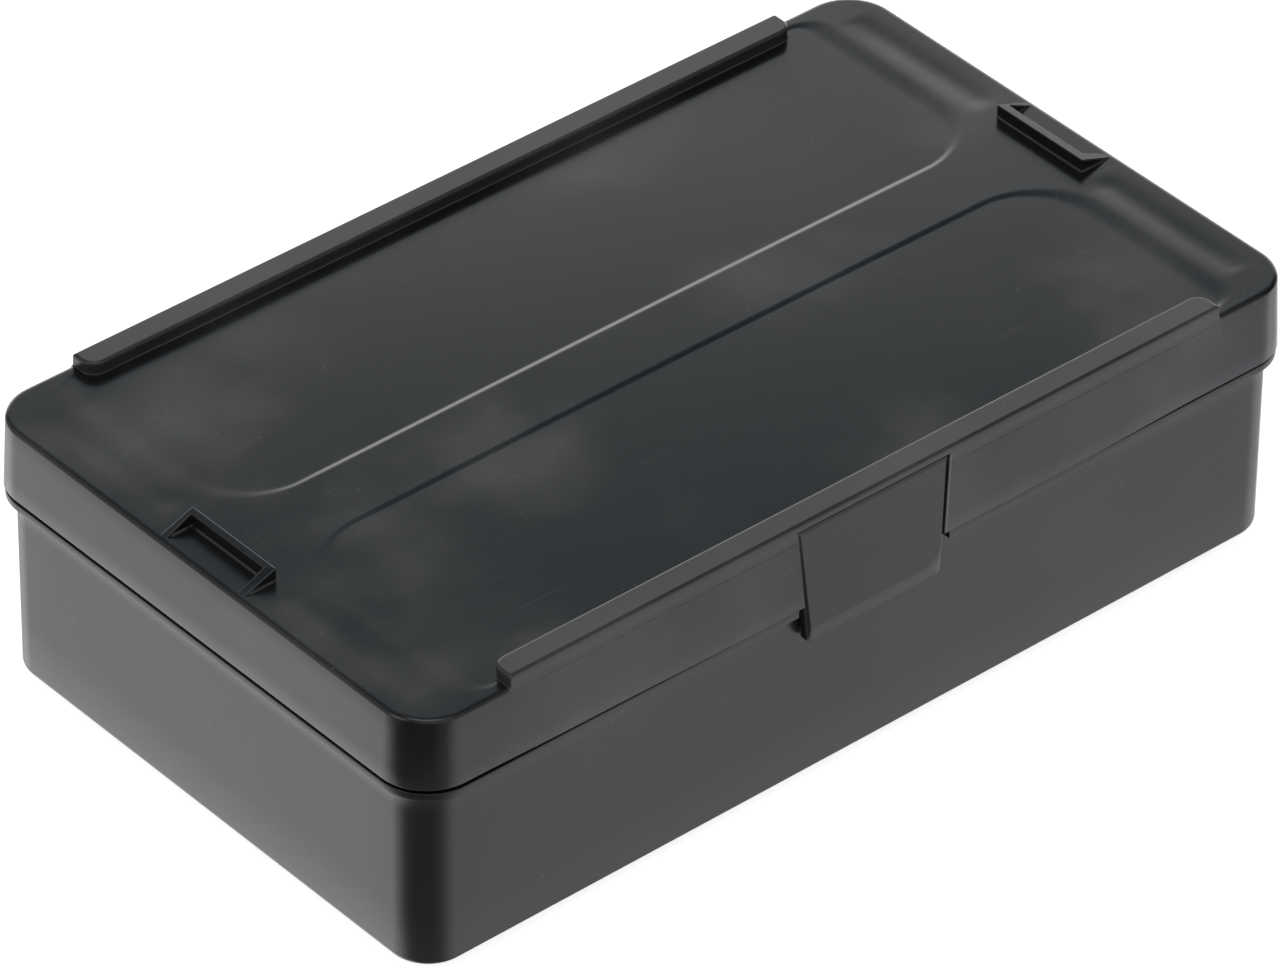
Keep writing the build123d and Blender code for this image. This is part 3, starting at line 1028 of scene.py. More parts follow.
        mesh = bmesh.new()
        deck = {
            (u, v): mesh.verts.new((x, y, self.deck_height(x, y)))
            for u, x in zip(u_lines, x_lines)
            for v, y in zip(v_lines, y_lines)
        }
        for u, next_u in zip(u_lines, u_lines[1:]):
            for v, next_v in zip(v_lines, v_lines[1:]):
                corners = ((u, v), (next_u, v), (next_u, next_v), (u, next_v))
                mesh.faces.new([deck[corner] for corner in corners])
        rings = [[deck[(station.u, station.v)] for station in stations]]
        deck_reach = places.skirt_reach(places.lid_rim) - self.edge_round
        for reach in [*steps_between(self.fine, deck_reach, self.fine), deck_reach]:
            points = [core.at(station, reach, 0.0) for station in stations]
            for point in points:
                point.z = self.deck_height(point.x, point.y)
            rings.append(add_ring(mesh, points))
        loft(mesh, rings)

        profiles = [self.profile(station, deck_reach) for station in stations]
        below = [rings[-1]]
        for level in range(len(profiles[0])):
            below.append(
                add_ring(mesh, [core.at(s, *p[level]) for s, p in zip(stations, profiles)])
            )
        loft(mesh, below)
        add_cap(mesh, below[-1])
        return make_object("lid_shell", mesh)

    def profile(self, station: Station, deck_reach: float) -> list[Point2]:
        """Reach and height from the deck's border down the skirt and up its inside."""
        places = self.places
        bottom = places.skirt_bottom - self.skirt_sag(station)
        ceiling = places.lid_rim - self.panel_depth - self.top_thickness
        inner_round = 1.0 * MM
        points = self.edge_points(deck_reach, self.notched(station))
        for share in (0.25, 0.5, 0.75):
            height = places.lid_rim + share * (bottom - places.lid_rim)
            points.append((places.skirt_reach(height), height))
        closed = places.closing(station.u) if station.ny == -1 else 0.0
        lip = self.lip_round * (1 - 0.75 * closed)
        outer = places.skirt_reach(bottom)
        inner = outer - self.wall - (self.lip_round - lip)
        points += arc((outer - lip, bottom + lip), lip, 0.0, -QUARTER, 4)
        points += arc((inner + lip, bottom + lip), lip, -QUARTER, -math.pi, 4)
        top_inner = places.skirt_reach(ceiling) - self.wall
        middle = (top_inner - inner_round, ceiling - inner_round)
        return points + arc(middle, inner_round, 0.0, QUARTER, 5)

    def rail(self, name: str, side: int) -> bpy.types.Object:
        """Builds a stacking rail whose outer face carries the skirt's face on upwards.

        Args:
            name: The piece's name.
            side: 1 at the back, -1 at the front.

        Returns:
            The rail.
        """
        places = self.places
        top, rim = places.rail_top, places.lid_rim
        ledge, floor = rim - self.notch_drop, rim - self.panel_depth
        inner = places.skirt_face(top) - self.rail_width
        half, foot, turn = self.rail_half_length, self.rail_foot, self.rail_round

        def level(height: float, spread: float, inset: float = 0.0) -> list[Vector]:
            """One ring of the rail, spread at its foot or drawn in at its top."""
            low = (-half - spread + inset, inner - spread + inset)
            outer = places.skirt_face(height) - inset - (0.02 * MM if spread else 0.0)
            high = (half + spread - inset, outer)
            free = max(self.rail_corner + spread - inset, 0.1 * MM)
            tight = 0.3 * MM
            ring = rounded_box(low, high, (free, free, tight, tight), height)
            return [Vector((point.x, side * point.y, point.z)) for point in ring]

        rings = [level(ledge, 0.0), level(floor - 0.06 * MM, foot)]
        for share in (0.25, 0.5, 0.75, 1.0):
            angle = share * QUARTER
            rings.append(level(floor + foot * (1 - math.cos(angle)), foot * (1 - math.sin(angle))))
        rings.append(level((floor + top) / 2, 0.0))
        for share in range(6):
            angle = share / 5 * QUARTER
            inset = turn * (1 - math.cos(angle))
            rings.append(level(top - turn * (1 - math.sin(angle)), 0.0, inset))
        mesh = bmesh.new()
        add_stack(mesh, rings)
        return make_object(name, mesh, sharp=50.0)

    def end_stop(self, name: str, side: int) -> bpy.types.Object:
        """Builds an end stop: a web whose two ribs slope down to the lid's end.

        Args:
            name: The piece's name.
            side: 1 at the right end, -1 at the left.

        Returns:
            The stop, with the round at its foot.
        """
        rim = self.places.lid_rim
        near, web = self.stop_web - self.stop_wall, self.stop_web
        end = near + self.stop_reach
        half, wall = self.stop_half_width, self.stop_wall
        outline = [(near, -half), (end, -half), (end, wall - half), (web, wall - half)]
        outline += [(x, -y) for x, y in reversed(outline)]
        mesh = bmesh.new()
        top = rim + self.places.stop_height - self.stop_drop
        add_prism(mesh, Along.Z, (rim - BURIED, top), [(side * x, y) for x, y in outline])
        for vertex in mesh.verts:
            past = max(0.0, abs(vertex.co.x) - web) / (end - web)
            if vertex.co.z > rim:
                vertex.co.z -= past * (self.places.stop_height - 0.1 * MM)
        stop = make_object(name, mesh)
        tip = web + 0.75 * (end - web)
        path = [Vector((side * min(x, tip), y, rim)) for x, y in outline]
        values = {"Bead": self.stop_bead, "Turn": 0.3 * MM, "Material": self.finishes.lid}
        foot = grow(f"{name}_foot", path, foot_round_tree(), values, closed_path=True)
        dress(foot, self.finishes.lid, "lid")
        round_edges(stop, 0.2 * MM, 3)
        stop.modifiers[0].miter_outer = "MITER_SHARP"
        return stop

    def window_cutter(self) -> bpy.types.Object:
        """Builds the solid that cuts the latch's window out of the skirt and the rail."""
        front = Latch(self.places, self.finishes)
        top, bottom = front.window_top, self.places.skirt_bottom - 1 * MM
        upper, lower = (front.half_width(z) + self.window_gap for z in (top, bottom))
        mesh = bmesh.new()
        outline = [(-lower, bottom), (lower, bottom), (upper, top), (-upper, top)]
        span = (-self.places.half_width - 2 * MM, front.window_back)
        add_prism(mesh, Along.Y, span, outline)
        return make_object("window_cutter", mesh)

    def window_edge(self) -> bpy.types.Object:
        """Builds the round along the window's right-hand edge, in a light grey that paints a
        highlight on it.
        """
        front = Latch(self.places, self.finishes)
        low, high = self.places.skirt_bottom + 0.2 * MM, front.window_top - 0.2 * MM
        radius = self.window_bead
        mesh = bmesh.new()
        rings = []
        for height in (low, high):
            x = front.half_width(height) + self.window_gap + radius
            y = -self.places.skirt_face(height) + radius - 0.06 * MM
            rings.append([Vector((*spot, height)) for spot in circle((x, y), radius, 16)])
        add_stack(mesh, rings)
        return make_object("window_edge", mesh, sharp=50.0)

    def knuckles(self) -> bpy.types.Object:
        """Builds the lid's two hinge knuckles, each with its gusset and its stopping heel."""
        places = self.places
        hinge = hinge_middle(places)
        y, z = hinge.y, hinge.z
        high = z + self.gusset
        radius = self.knuckle_radius
        heel_end = radius + self.heel_reach
        away = math.asin(self.heel_half / radius)
        outline = [
            (places.half_width - self.wall / 2, z),
            (places.skirt_face(high) - self.wall / 2, high),
            (places.skirt_face(high), high),
        ]
        outline += arc((y, z), radius, QUARTER * 0.9, self.heel_turn + away, 14)
        for sign in (1, -1):
            along = Vector((math.cos(self.heel_turn), math.sin(self.heel_turn)))
            corner = Vector((y, z)) + along * heel_end
            corner += Vector((-along.y, along.x)) * self.heel_half * sign
            outline.append((corner.x, corner.y))
        outline += arc((y, z), radius, self.heel_turn - away, -math.pi, 20)
        mesh = bmesh.new()
        for side in (-1, 1):
            middle = side * hinge.x
            span = (middle - self.knuckle_half, middle + self.knuckle_half)
            add_prism(mesh, Along.X, span, outline, [circle((y, z), self.bore_radius)])
        piece = make_object("lid_knuckles", mesh)
        round_edges(piece, 0.2 * MM)
        return piece

    def under_ribs(self) -> bpy.types.Object:
        """Builds the ribs that stiffen the lid's top from below."""
        rib = Vector((1.0, 78.0, 1.4)) * MM
        ceiling = self.places.lid_rim - self.panel_depth - self.top_thickness
        rows = [Vector((x * MM, 0, ceiling)) for x in range(-75, 76, 25)]
        values = {"Size": rib, "Material": self.finishes.lid}
        piece = grow("lid_under_ribs", rows, detail_tree(BarShape.BAR), values)
        round_edges(piece, 0.15 * MM)
        return piece

    def marks(self) -> bpy.types.Object:
        """Builds the round ejector marks under the lid's top."""
        ceiling = self.places.lid_rim - self.panel_depth - self.top_thickness
        spots = [
            Vector((x * MM, y * MM, ceiling)) for x in (-62.5, -12.5, 37.5, 62.5) for y in (-30, 30)
        ]
        values = {"Size": Vector((2.5, 2.5, 0.3)) * MM, "Material": self.finishes.lid}
        return grow("lid_ejector_marks", spots, detail_tree(BarShape.DISC), values)


# ---------------------------------------------------------------------------- latch
@dataclass(frozen=True)
class Latch:
    """Sprung latch: a flared, pillowed plate that hangs from a bead inside the front rail."""

    places: CasePlaces
    finishes: Finishes
    pivot_length: float = 2.2 * MM
    pivot_radius: float = 0.7 * MM
    bead_radius: float = 1.0 * MM
    bead_drop: float = 2.6 * MM
    air: float = 0.3 * MM
    slant: float = math.radians(4.8)
    plate: float = 1.4 * MM
    flare: float = 2.1 * MM
    low_corner: float = 1.0 * MM
    panel_corner: float = 4.4 * MM
    top_corner: float = 0.4 * MM
    pillow: float = 0.1 * MM
    pillow_width: float = 0.7 * MM
    recess: float = 0.15 * MM
    flare_from: float = 39.0 * MM
    tuck: float = 0.6 * MM
    tuck_height: float = 2.9 * MM
    edge_round: float = 0.25 * MM
    nose_height: float = 1.8 * MM
    nose_air: float = 0.3 * MM
    lead_in: float = 0.6 * MM
    web_wall: float = 0.6 * MM

    @property
    def axis_z(self) -> float:
        """Height of the bead's axis."""
        return self.places.rail_top - self.bead_drop

    @property
    def axis_y(self) -> float:
        """Place of the bead's axis across the case."""
        return self.places.latch_low.y + self.flare + self.bead_radius

    @property
    def window_top(self) -> float:
        """Upper edge of the window that the latch fills."""
        return self.axis_z + self.bead_radius + self.air

    @property
    def window_back(self) -> float:
        """Back of the window that the latch fills."""
        return self.axis_y + self.bead_radius + self.air

    def half_width(self, height: float) -> float:
        """Half the latch's width at a height: its sides run in towards its foot."""
        top = self.places.latch_high.x - self.pivot_length
        return top - (self.axis_z - height) * math.tan(self.slant)

    def face(self, height: float) -> float:
        """Place of the plate's front face: level with the skirt, then flaring to the foot."""
        low = self.places.latch_low.z
        share = min(1.0, max(0.0, (self.flare_from - height) / (self.flare_from - low)))
        foot = self.places.latch_low.y + 0.1 * MM
        level = self.recess - self.places.skirt_face(height)
        lowest = self.recess - self.places.skirt_face(low)
        return level + (foot - lowest) * share**1.5

    def outline(self, inset: float, depth: float, share: float = 0.0) -> list[Vector]:
        """One ring of the plate.

        Args:
            inset: How far the ring lies inside the plate's outline.
            depth: How far it lies behind the plate's front face.
            share: How far the ring has come from the plate's edge to its flat panel.

        Returns:
            The ring's points.
        """
        top = self.axis_z + self.bead_radius - inset
        bottom = self.places.latch_low.z + inset + share * (self.tuck_height - self.pillow_width)
        spots: list[Point2] = []
        tilt = self.slant
        low_corner = self.low_corner + share * (self.panel_corner - self.low_corner)
        corners = (
            (-1, bottom, self.low_corner, -math.pi + tilt, -QUARTER),
            (1, bottom, low_corner, -QUARTER, -tilt),
            (1, top, self.top_corner, -tilt, QUARTER),
            (-1, top, self.top_corner, QUARTER, math.pi + tilt),
        )
        for side, height, corner, start, end in corners:
            radius = max(corner - inset * (1 - share), 0.08 * MM)
            up = radius if height == bottom else -radius
            middle_z = height + up
            middle_x = side * (self.half_width(middle_z) - (inset + radius) / math.cos(tilt))
            spots += arc((middle_x, middle_z), radius, start, end, 10)
        tucked = self.tuck * (1 - share)
        low = self.places.latch_low.z

        def back(height: float) -> float:
            """How much further the ring lies back near the foot."""
            return tucked * smooth_step(1 - (height - low) / (2.2 * self.tuck_height))

        return [Vector((x, self.face(z) + depth + back(z), z)) for x, z in spots]

    def build(self) -> None:
        """Builds and dresses the latch."""
        turn, width = self.edge_round, self.pillow_width
        rings = [
            self.outline(0.1 * MM, self.plate - 0.1 * MM),
            self.outline(0.0, self.plate - 0.2 * MM),
        ]
        for share in (0.0, 0.25, 0.5, 0.75, 1.0):
            angle = share * QUARTER
            inset = turn * (1 - math.cos(angle))
            rings.append(self.outline(inset, turn * (1 - math.sin(angle)) + self.pillow))
        for step in range(1, 11):
            share = step / 10
            inset = turn + (width - turn) * share
            rings.append(self.outline(inset, self.pillow * (1 - smooth_step(share)), share))
        mesh = bmesh.new()
        add_stack(mesh, rings)
        top = self.places.latch_high.x - self.pivot_length
        middle = (self.axis_y, self.axis_z)
        add_prism(mesh, Along.X, (0.3 * MM - top, top - 0.3 * MM), circle(middle, self.bead_radius))
        reach = self.places.latch_high.x
        add_prism(mesh, Along.X, (-reach, reach), circle(middle, self.pivot_radius, 24))
        low = self.places.latch_low.z
        inner = -(self.places.core.half_y + self.places.wall_corner) - self.nose_air
        front = self.face(low) + self.tuck + self.plate / 2
        nose = [
            (front, low + 0.1 * MM),
            (inner - self.lead_in, low + 0.1 * MM),
            (inner, low + self.nose_height / 2),
            (inner, low + self.nose_height),
            (front, low + self.nose_height),
        ]
        half = self.half_width(low) - self.low_corner / 2
        add_prism(mesh, Along.X, (-half, half), nose)
        high = self.places.skirt_bottom - 0.4 * MM
        web = [
            (self.face(high) + self.plate / 2, high),
            (front, low + 0.3 * MM),
            (inner, low + 0.5 * MM),
            (self.face(high) + self.plate, high),
        ]
        for side in (-1, 1):
            edge = side * (self.half_width(low) - 0.1 * MM)
            add_prism(mesh, Along.X, (edge - side * self.web_wall, edge), web)
        piece = make_object("latch_plate", mesh, sharp=32.0)
        dress(piece, self.finishes.latch, "latch")
        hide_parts("latch")


# ---------------------------------------------------------------------------- base
def hinge_middle(places: CasePlaces) -> Vector:
    """Middle of the right hinge pin."""
    return (places.pin_low + places.pin_high) / 2


@dataclass(frozen=True)
class Base:
    """Base with a rim band, a tongue, a stacking foot, a catch and hinge knuckles."""

    places: CasePlaces
    finishes: Finishes
    wall: float = 2.0 * MM
    floor: float = 2.0 * MM
    band_height: float = 1.4 * MM
    band_inset: float = 0.25 * MM
    band_round: float = 0.2 * MM
    band_break: float = 15.3 * MM
    tongue_setback: float = 0.5 * MM
    bottom_round: float = 1.0 * MM
    inner_round: float = 1.2 * MM
    foot_half_length: float = 81.5 * MM
    foot_half_width: float = 47.05 * MM
    corner_steps: int = 18
    catch_half_width: float = 12.5 * MM
    catch_depth: float = 1.0 * MM
    catch_height: float = 3.4 * MM
    catch_rise: float = 2.1 * MM
    ledge_depth: float = 3.5 * MM
    ledge_width: float = 9.0 * MM
    groove_rib: float = 1.2 * MM
    groove_depth: float = 1.3 * MM
    groove_width: float = 1.6 * MM
    divider_x: float = 35.0 * MM
    knuckle_length: float = 5.0 * MM
    knuckle_offset: float = 8.3 * MM
    knuckle_radius: float = 2.65 * MM
    bore_radius: float = 1.25 * MM
    gusset: float = 10.0 * MM

    @property
    def foot_core(self) -> Core:
        """The rectangle between the centres of the foot's corners."""
        corner = self.places.wall_corner
        return Core(self.foot_half_length - corner, self.foot_half_width - corner)

    def build(self) -> None:
        """Builds and dresses every piece of the base."""
        shell = self.shell()
        pieces = (shell, self.knuckles(), self.catch(), self.ledges(), self.grooves(), self.marks())
        for piece in pieces:
            dress(piece, self.finishes.base, "base")
        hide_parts("base")

    def band_reach(self, station: Station) -> float:
        """Reach of the rim band, which stops either side of the latch."""
        places = self.places
        x = abs(station.u) * places.core.half_x
        if station.ny == -1 and x < self.band_break + 0.01 * MM:
            return places.wall_corner + 0.01 * MM
        closed = places.closing(station.u) if station.ny == -1 else 0.0
        return places.wall_corner + places.overhang - self.band_inset * (1 - 0.85 * closed)

    def profile(self, station: Station) -> list[tuple[Core, float, float]]:
        """Core, reach and height of each point from under the foot, over the rim, to the inside."""
        places = self.places
        core, foot, reach = places.core, self.foot_core, places.wall_corner
        rise, top, turn = places.foot_height, places.base_top, self.band_round
        band = self.band_reach(station)
        tongue = reach - self.tongue_setback
        inner, tongue_top = reach - self.wall, places.base_high.z
        inner_floor = rise + self.floor

        def bend(
            over: Core, middle: Point2, radius: float, start: float, end: float
        ) -> list[tuple[Core, float, float]]:
            """A rounded stretch of the profile, its angles in quarter turns."""
            points = arc(middle, radius, start * QUARTER, end * QUARTER, 4)
            return [(over, place, height) for place, height in points]

        closed = places.closing(station.u) if station.ny == -1 else 0.0
        small = min(turn * (1 - 0.7 * closed), max(0.0, (band - reach) / 3))
        points = bend(foot, (reach - 0.6 * MM, 0.6 * MM), 0.6 * MM, -1, 0)
        points += bend(foot, (reach + 0.3 * MM, rise - 0.3 * MM), 0.3 * MM, 2, 1)
        low_round, inside_round = self.bottom_round, self.inner_round
        points += bend(core, (reach - low_round, rise + low_round), low_round, -1, 0)
        points += [(core, reach, rise + (top - rise) * share) for share in (0.3, 0.6, 0.85)]
        low = top - self.band_height
        points += [(core, reach, low - 0.2 * MM), (core, reach + small / 2, low)]
        points += bend(core, (band - small, low + small), small, -1, 0)
        points += bend(core, (band - small, top - small), small, 0, 1)
        points += [(core, tongue + 0.15 * MM, top), (core, tongue, top + 0.15 * MM)]
        points += bend(core, (tongue - 0.4 * MM, tongue_top - 0.4 * MM), 0.4 * MM, 0, 1)
        points += bend(core, (inner + 0.3 * MM, tongue_top - 0.3 * MM), 0.3 * MM, 1, 2)
        corner = inner - inside_round
        points += bend(core, (corner, inner_floor + inside_round), inside_round, 0, -1)
        points += bend(foot, (inner + 0.3 * MM, inner_floor - 0.3 * MM), 0.3 * MM, 1, 2)
        points += bend(foot, (corner, self.floor + inside_round), inside_round, 0, -1)
        return points

    def shell(self) -> bpy.types.Object:
        """Builds the closed shell of the base."""
        core = self.places.core
        breaks = [self.band_break, self.band_break + 0.08 * MM]
        x_half = [0.0, 5 * MM, 10 * MM, *breaks, *steps_between(20 * MM, core.half_x, 6 * MM)]
        u_lines = [x / core.half_x for x in mirrored_lines([*x_half, core.half_x])]
        y_half = [*steps_between(0.0, core.half_y, 6 * MM), core.half_y]
        v_lines = [y / core.half_y for y in mirrored_lines(y_half)]
        stations = stations_around(u_lines, v_lines, self.corner_steps)
        profiles = [self.profile(station) for station in stations]
        rings = [
            [spot[0].at(station, *spot[1:]) for station, spot in zip(stations, ring)]
            for ring in zip(*profiles)
        ]
        mesh = bmesh.new()
        add_stack(mesh, rings)
        return make_object("base_shell", mesh)

    def knuckles(self) -> bpy.types.Object:
        """Builds the four hinge knuckles of the base, each on its gusset."""
        places = self.places
        hinge = hinge_middle(places)
        y, z = hinge.y, hinge.z
        wall = places.core.half_y + places.wall_corner
        top, radius = places.base_top, self.knuckle_radius
        corner = (wall, top - self.gusset)
        lean = math.atan2(z - corner[1], y - corner[0])
        span = math.hypot(z - corner[1], y - corner[0])
        touch = lean - QUARTER + math.asin(radius / span)
        shoulder = math.pi + math.asin((z - top) / radius)
        outline = [(wall - BURIED, top), (wall - BURIED, corner[1]), corner]
        outline += arc((y, z), radius, touch, shoulder, 24)
        mesh = bmesh.new()
        for side in (-1, 1):
            for end in (-1, 1):
                middle = side * hinge.x + end * self.knuckle_offset
                reach = (middle - self.knuckle_length / 2, middle + self.knuckle_length / 2)
                add_prism(mesh, Along.X, reach, outline, [circle((y, z), self.bore_radius)])
        piece = make_object("base_knuckles", mesh)
        round_edges(piece, 0.2 * MM)
        return piece

    def catch(self) -> bpy.types.Object:
        """Builds the ramp that the latch's nose snaps over."""
        front = -(self.places.core.half_y + self.places.wall_corner)
        low = self.places.latch_low.z + self.catch_rise
        outline = [
            (front + BURIED, low),
            (front - self.catch_depth, low),
            (front, low + self.catch_height),
            (front + BURIED, low + self.catch_height),
        ]
        mesh = bmesh.new()
        add_prism(mesh, Along.X, (-self.catch_half_width, self.catch_half_width), outline)
        piece = make_object("base_catch", mesh)
        round_edges(piece, 0.15 * MM)
        return piece

    def ledges(self) -> bpy.types.Object:
        """Builds the four ledges that carry the tray."""
        places = self.places
        core, inner = places.core, places.wall_corner - self.wall
        low, high = places.foot_height + self.floor - BURIED, places.tray_low.z
        end_x, end_y = core.half_x + inner, core.half_y + inner
        size = Vector((self.ledge_depth + BURIED, self.ledge_width, high - low))
        spots = []
        for sx in (-1, 1):
            for sy in (-1, 1):
                x = sx * (end_x - (self.ledge_depth - BURIED) / 2)
                y = sy * (end_y - inner - self.ledge_width)
                spots.append(Vector((x, y, (low + high) / 2)))
        values = {"Size": size, "Material": self.finishes.base}
        piece = grow("base_ledges", spots, detail_tree(BarShape.BAR), values)
        round_edges(piece, 0.3 * MM, 3)
        return piece

    def grooves(self) -> bpy.types.Object:
        """Builds the pairs of upright ribs that hold the cross dividers."""
        places = self.places
        low, high = places.foot_height + self.floor - BURIED, places.tray_low.z - 0.2 * MM
        inner = places.core.half_y + places.wall_corner - self.wall
        size = Vector((self.groove_rib, self.groove_depth + BURIED, high - low))
        spots = []
        for middle in (-self.divider_x, self.divider_x):
            for rib in (-1, 1):
                for side in (-1, 1):
                    x = middle + rib * (self.groove_width + self.groove_rib) / 2
                    y = side * (inner - (self.groove_depth - BURIED) / 2)
                    spots.append(Vector((x, y, (low + high) / 2)))
        values = {"Size": size, "Material": self.finishes.base}
        piece = grow("base_groove_ribs", spots, detail_tree(BarShape.BAR), values)
        round_edges(piece, 0.2 * MM)
        return piece

    def marks(self) -> bpy.types.Object:
        """Builds the round ejector marks on the base's floor."""
        spots = [
            Vector((x * MM, y * MM, self.floor)) for x in (-65, -15, 15, 65) for y in (-28, 28)
        ]
        values = {"Size": Vector((3.0, 3.0, 0.3)) * MM, "Material": self.finishes.base}
        return grow("base_ejector_marks", spots, detail_tree(BarShape.DISC), values)


# ---------------------------------------------------------------------------- inside
@dataclass(frozen=True)
class Inside:
    """Lift-out tray, its dividers, the base's dividers and the hinge pins."""

    nodes: dict[str, bpy.types.Object]
    finishes: Finishes
    tray_round: float = 0.3 * MM
    divider_round: float = 0.25 * MM

    def build(self) -> None:
        """Builds and dresses the tray and dividers, and dresses the pins."""
        tray = cad_copy("tray_body", self.nodes["tray"])
        round_edges(tray, self.tray_round, 3)
        dress(tray, self.finishes.tray, "base")
        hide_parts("tray")
        for name, node in self.nodes.items():
            if "divider" in name:
                plate = cad_copy(f"{name}_plate", node)
                round_edges(plate, self.divider_round, 3)
                dress(plate, self.finishes.divider, "base")
                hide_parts(name)
            elif "pin" in name:
                node.data.materials.clear()
                node.data.materials.append(self.finishes.steel)
                node.data.shade_smooth()


# ---------------------------------------------------------------------------- studio
@dataclass(frozen=True)
class Softbox:
    """One rectangular studio light that faces the case."""

    name: str
    place: Vector
    width: float
    height: float
    power: float
    tint: Colour = (1.0, 1.0, 1.0)
    aim: Vector = Vector((0.0, 0.0, 0.03))

    def build(self) -> None:
        """Places the light."""
        light = bpy.data.lights.new(self.name, "AREA")
        light.shape, light.size, light.size_y = "RECTANGLE", self.width, self.height
        light.energy, light.color = self.power, self.tint
        lamp = bpy.data.objects.new(self.name, light)
        lamp.location = self.place
        lamp.rotation_mode = "QUATERNION"
        lamp.rotation_quaternion = (self.aim - self.place).to_track_quat("-Z", "Y")
        bpy.context.scene.collection.objects.link(lamp)


@dataclass(frozen=True)
class Glow:
    """One soft panel of the studio's surroundings, round a direction, in degrees.

    Azimuth 0 lies towards +Y and 90 towards +X.
    """

    name: str
    azimuth: float
    elevation: float
    full_within: float
    gone_beyond: float
    strength: float
    tint: Colour = (1.0, 1.0, 1.0)

    @property
    def direction(self) -> Vector:
        """Unit vector towards the panel's middle."""
        around, above = math.radians(self.azimuth), math.radians(self.elevation)
        flat = math.cos(above)
        return Vector((math.sin(around) * flat, math.cos(around) * flat, math.sin(above)))

    def shine(self, bench: NodeBench, facing: bpy.types.NodeSocket) -> bpy.types.NodeSocket:
        """The panel's colour as seen along a direction."""
        product = bench.add(
            "ShaderNodeVectorMath", {0: facing, 1: self.direction}, operation="DOT_PRODUCT"
        )
        outer, inner = (math.cos(math.radians(a)) for a in (self.gone_beyond, self.full_within))
        share = bench.ramp(product.outputs["Value"], outer, inner)
        bright = tuple(self.strength * part for part in self.tint)
        return bench.mix(share, (0.0, 0.0, 0.0), bright)


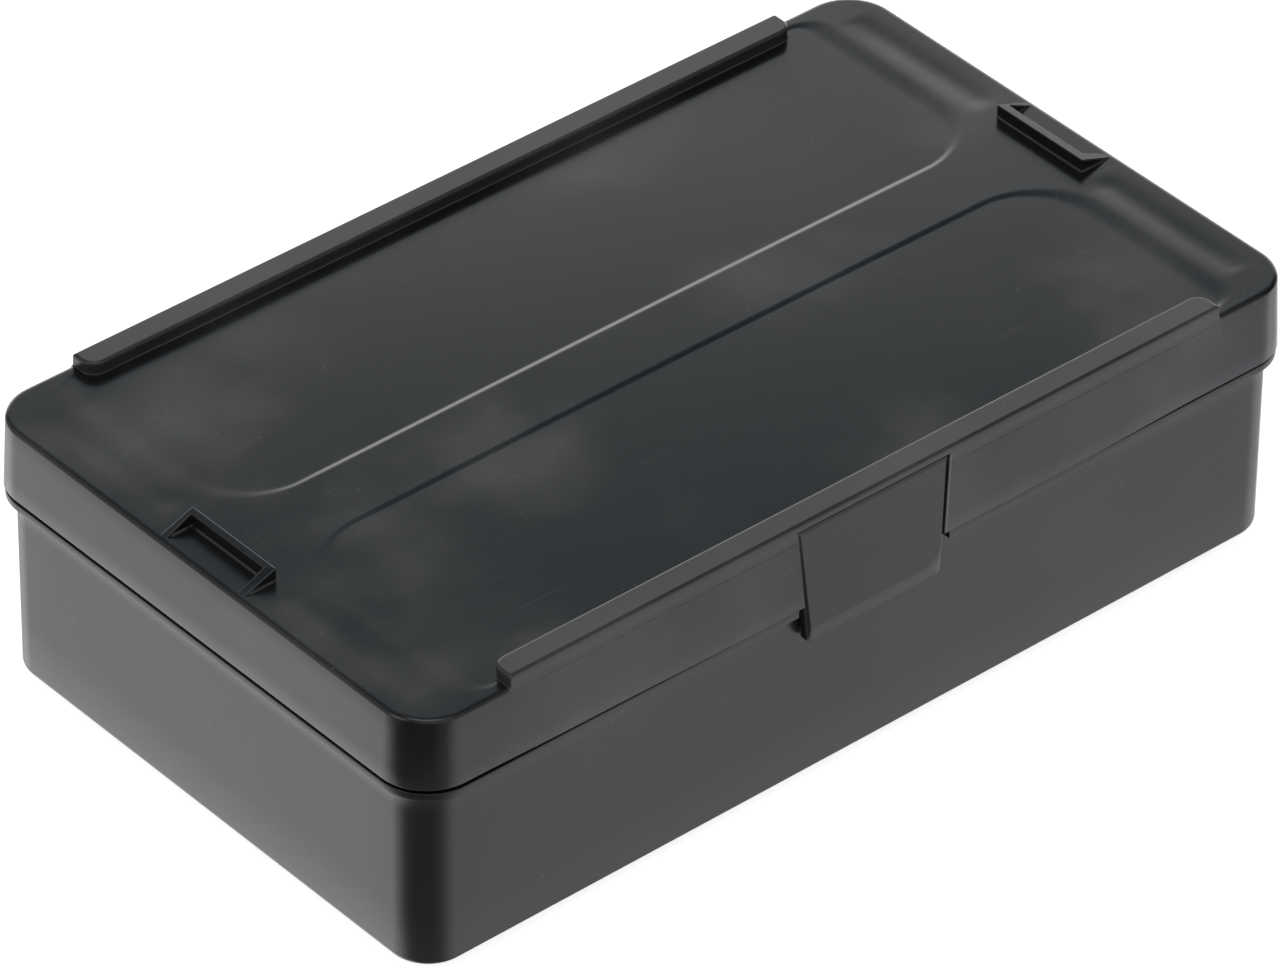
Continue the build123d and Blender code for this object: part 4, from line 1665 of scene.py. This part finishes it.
@dataclass(frozen=True)
class Studio:
    """Pale floor, soft lights, glowing surroundings and the camera."""

    eye: Vector = Vector((-0.78187, -0.89271, 0.92421))
    look: Vector = Vector((0.52389, 0.5992, -0.60539))
    up: Vector = Vector((0.3891, 0.46389, 0.79587))
    lens: float = 268.17
    floor_size: float = 6.0
    floor_gap: float = 0.05 * MM  # keeps the floor and the foot out of one plane
    floor_tone: float = 0.9
    floor_emission: float = 0.8
    surround: Colour = (0.05, 0.052, 0.056)

    def build(self) -> None:
        """Builds the whole studio."""
        self.floor()
        self.world()
        self.camera()
        boxes = (
            Softbox("top_softbox", Vector((-0.2, -0.1, 1.5)), 0.9, 0.9, 4.0),
            Softbox("left_softbox", Vector((-1.2, 0.1, 0.6)), 0.6, 0.6, 2.0, (1.0, 0.97, 0.94)),
        )
        for box in boxes:
            box.build()
        bpy.context.scene.view_settings.view_transform = "Standard"

    def floor(self) -> None:
        """Lays the plain pale floor that the case stands on."""
        mesh = bmesh.new()
        bmesh.ops.create_grid(mesh, x_segments=1, y_segments=1, size=self.floor_size / 2)
        data = bpy.data.meshes.new("studio_floor")
        mesh.to_mesh(data)
        mesh.free()
        for vertex in data.vertices:
            vertex.co.z = -self.floor_gap
        plane = bpy.data.objects.new("studio_floor", data)
        bpy.context.scene.collection.objects.link(plane)
        pale = bpy.data.materials.new("pale_floor")
        pale.use_nodes = True
        shader = pale.node_tree.nodes["Principled BSDF"]
        shader.inputs["Base Color"].default_value = (*[self.floor_tone] * 3, 1)
        shader.inputs["Roughness"].default_value = 0.9
        shader.inputs["Specular IOR Level"].default_value = 0.0
        shader.inputs["Emission Color"].default_value = (1, 1, 1, 1)
        shader.inputs["Emission Strength"].default_value = self.floor_emission
        data.materials.append(pale)
        plane.visible_glossy = False  # the gloss reflects the panels of world() instead

    def world(self) -> None:
        """Surrounds the case with dim grey and ten soft panels, which its gloss reflects."""
        glows = (
            Glow("left_panel", -32, -48, 8, 38, 1.5, (1.0, 0.965, 0.945)),
            Glow("front_right_panel", 139, -27, 12, 42, 0.93, (1.0, 0.955, 1.04)),
            Glow("floor_panel", 0, -90, 20, 60, 0.3),
            Glow("back_panel", 41, -5, 30, 42, 2.7, (1.0, 0.99, 0.97)),
            Glow("back_left_panel", -50, 10, 25, 60, 0.5, (1.0, 0.98, 0.96)),
            Glow("back_low_panel", 8, -30, 12, 42, 0.5),
            Glow("front_high_panel", 190, 38, 20, 62, 0.6),
            Glow("front_low_panel", 172, -24, 10, 36, 0.25),
            Glow("right_panel", 85, -25, 15, 38, 0.9),
            Glow("overhead_panel", 41, 45, 12, 45, 0.2, (0.75, 1.0, 1.18)),
        )
        surround = bpy.data.worlds.new("studio_surround")
        bpy.context.scene.world = surround
        surround.use_nodes = True
        bench = NodeBench(surround.node_tree)
        facing = bench.add("ShaderNodeTexCoord").outputs["Generated"]
        total: object = self.surround
        for glow in glows:
            shine = glow.shine(bench, facing)
            both = bench.add("ShaderNodeMix", {"Factor": 1.0}, data_type="RGBA", blend_type="ADD")
            if isinstance(total, bpy.types.NodeSocket):
                bench.tree.links.new(total, both.inputs[6])
            else:
                both.inputs[6].default_value = (*total, 1.0)
            bench.tree.links.new(shine, both.inputs[7])
            total = both.outputs[2]
        bench.tree.links.new(total, surround.node_tree.nodes["Background"].inputs["Color"])

    def camera(self) -> None:
        """Sets the camera at the front left, above the case."""
        lens = bpy.data.cameras.new("camera")
        lens.lens, lens.sensor_width, lens.clip_end = self.lens, 36.0, 20.0
        stand = bpy.data.objects.new("camera", lens)
        bpy.context.scene.collection.objects.link(stand)
        right = self.look.cross(self.up).normalized()
        turn = Matrix((right, self.up, -self.look)).transposed().to_4x4()
        turn.translation = self.eye
        stand.matrix_world = turn
        bpy.context.scene.camera = stand


def main() -> None:
    """Builds the toolbox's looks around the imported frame."""
    logging.basicConfig(level=logging.INFO, format="%(name)s %(message)s")
    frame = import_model()
    places = CasePlaces.read()
    finishes = Finishes.build()
    Studio().build()
    Base(places, finishes).build()
    Lid(places, finishes).build()
    Latch(places, finishes).build()
    Inside(frame["nodes"], finishes).build()


if __name__ == "__main__":
    main()
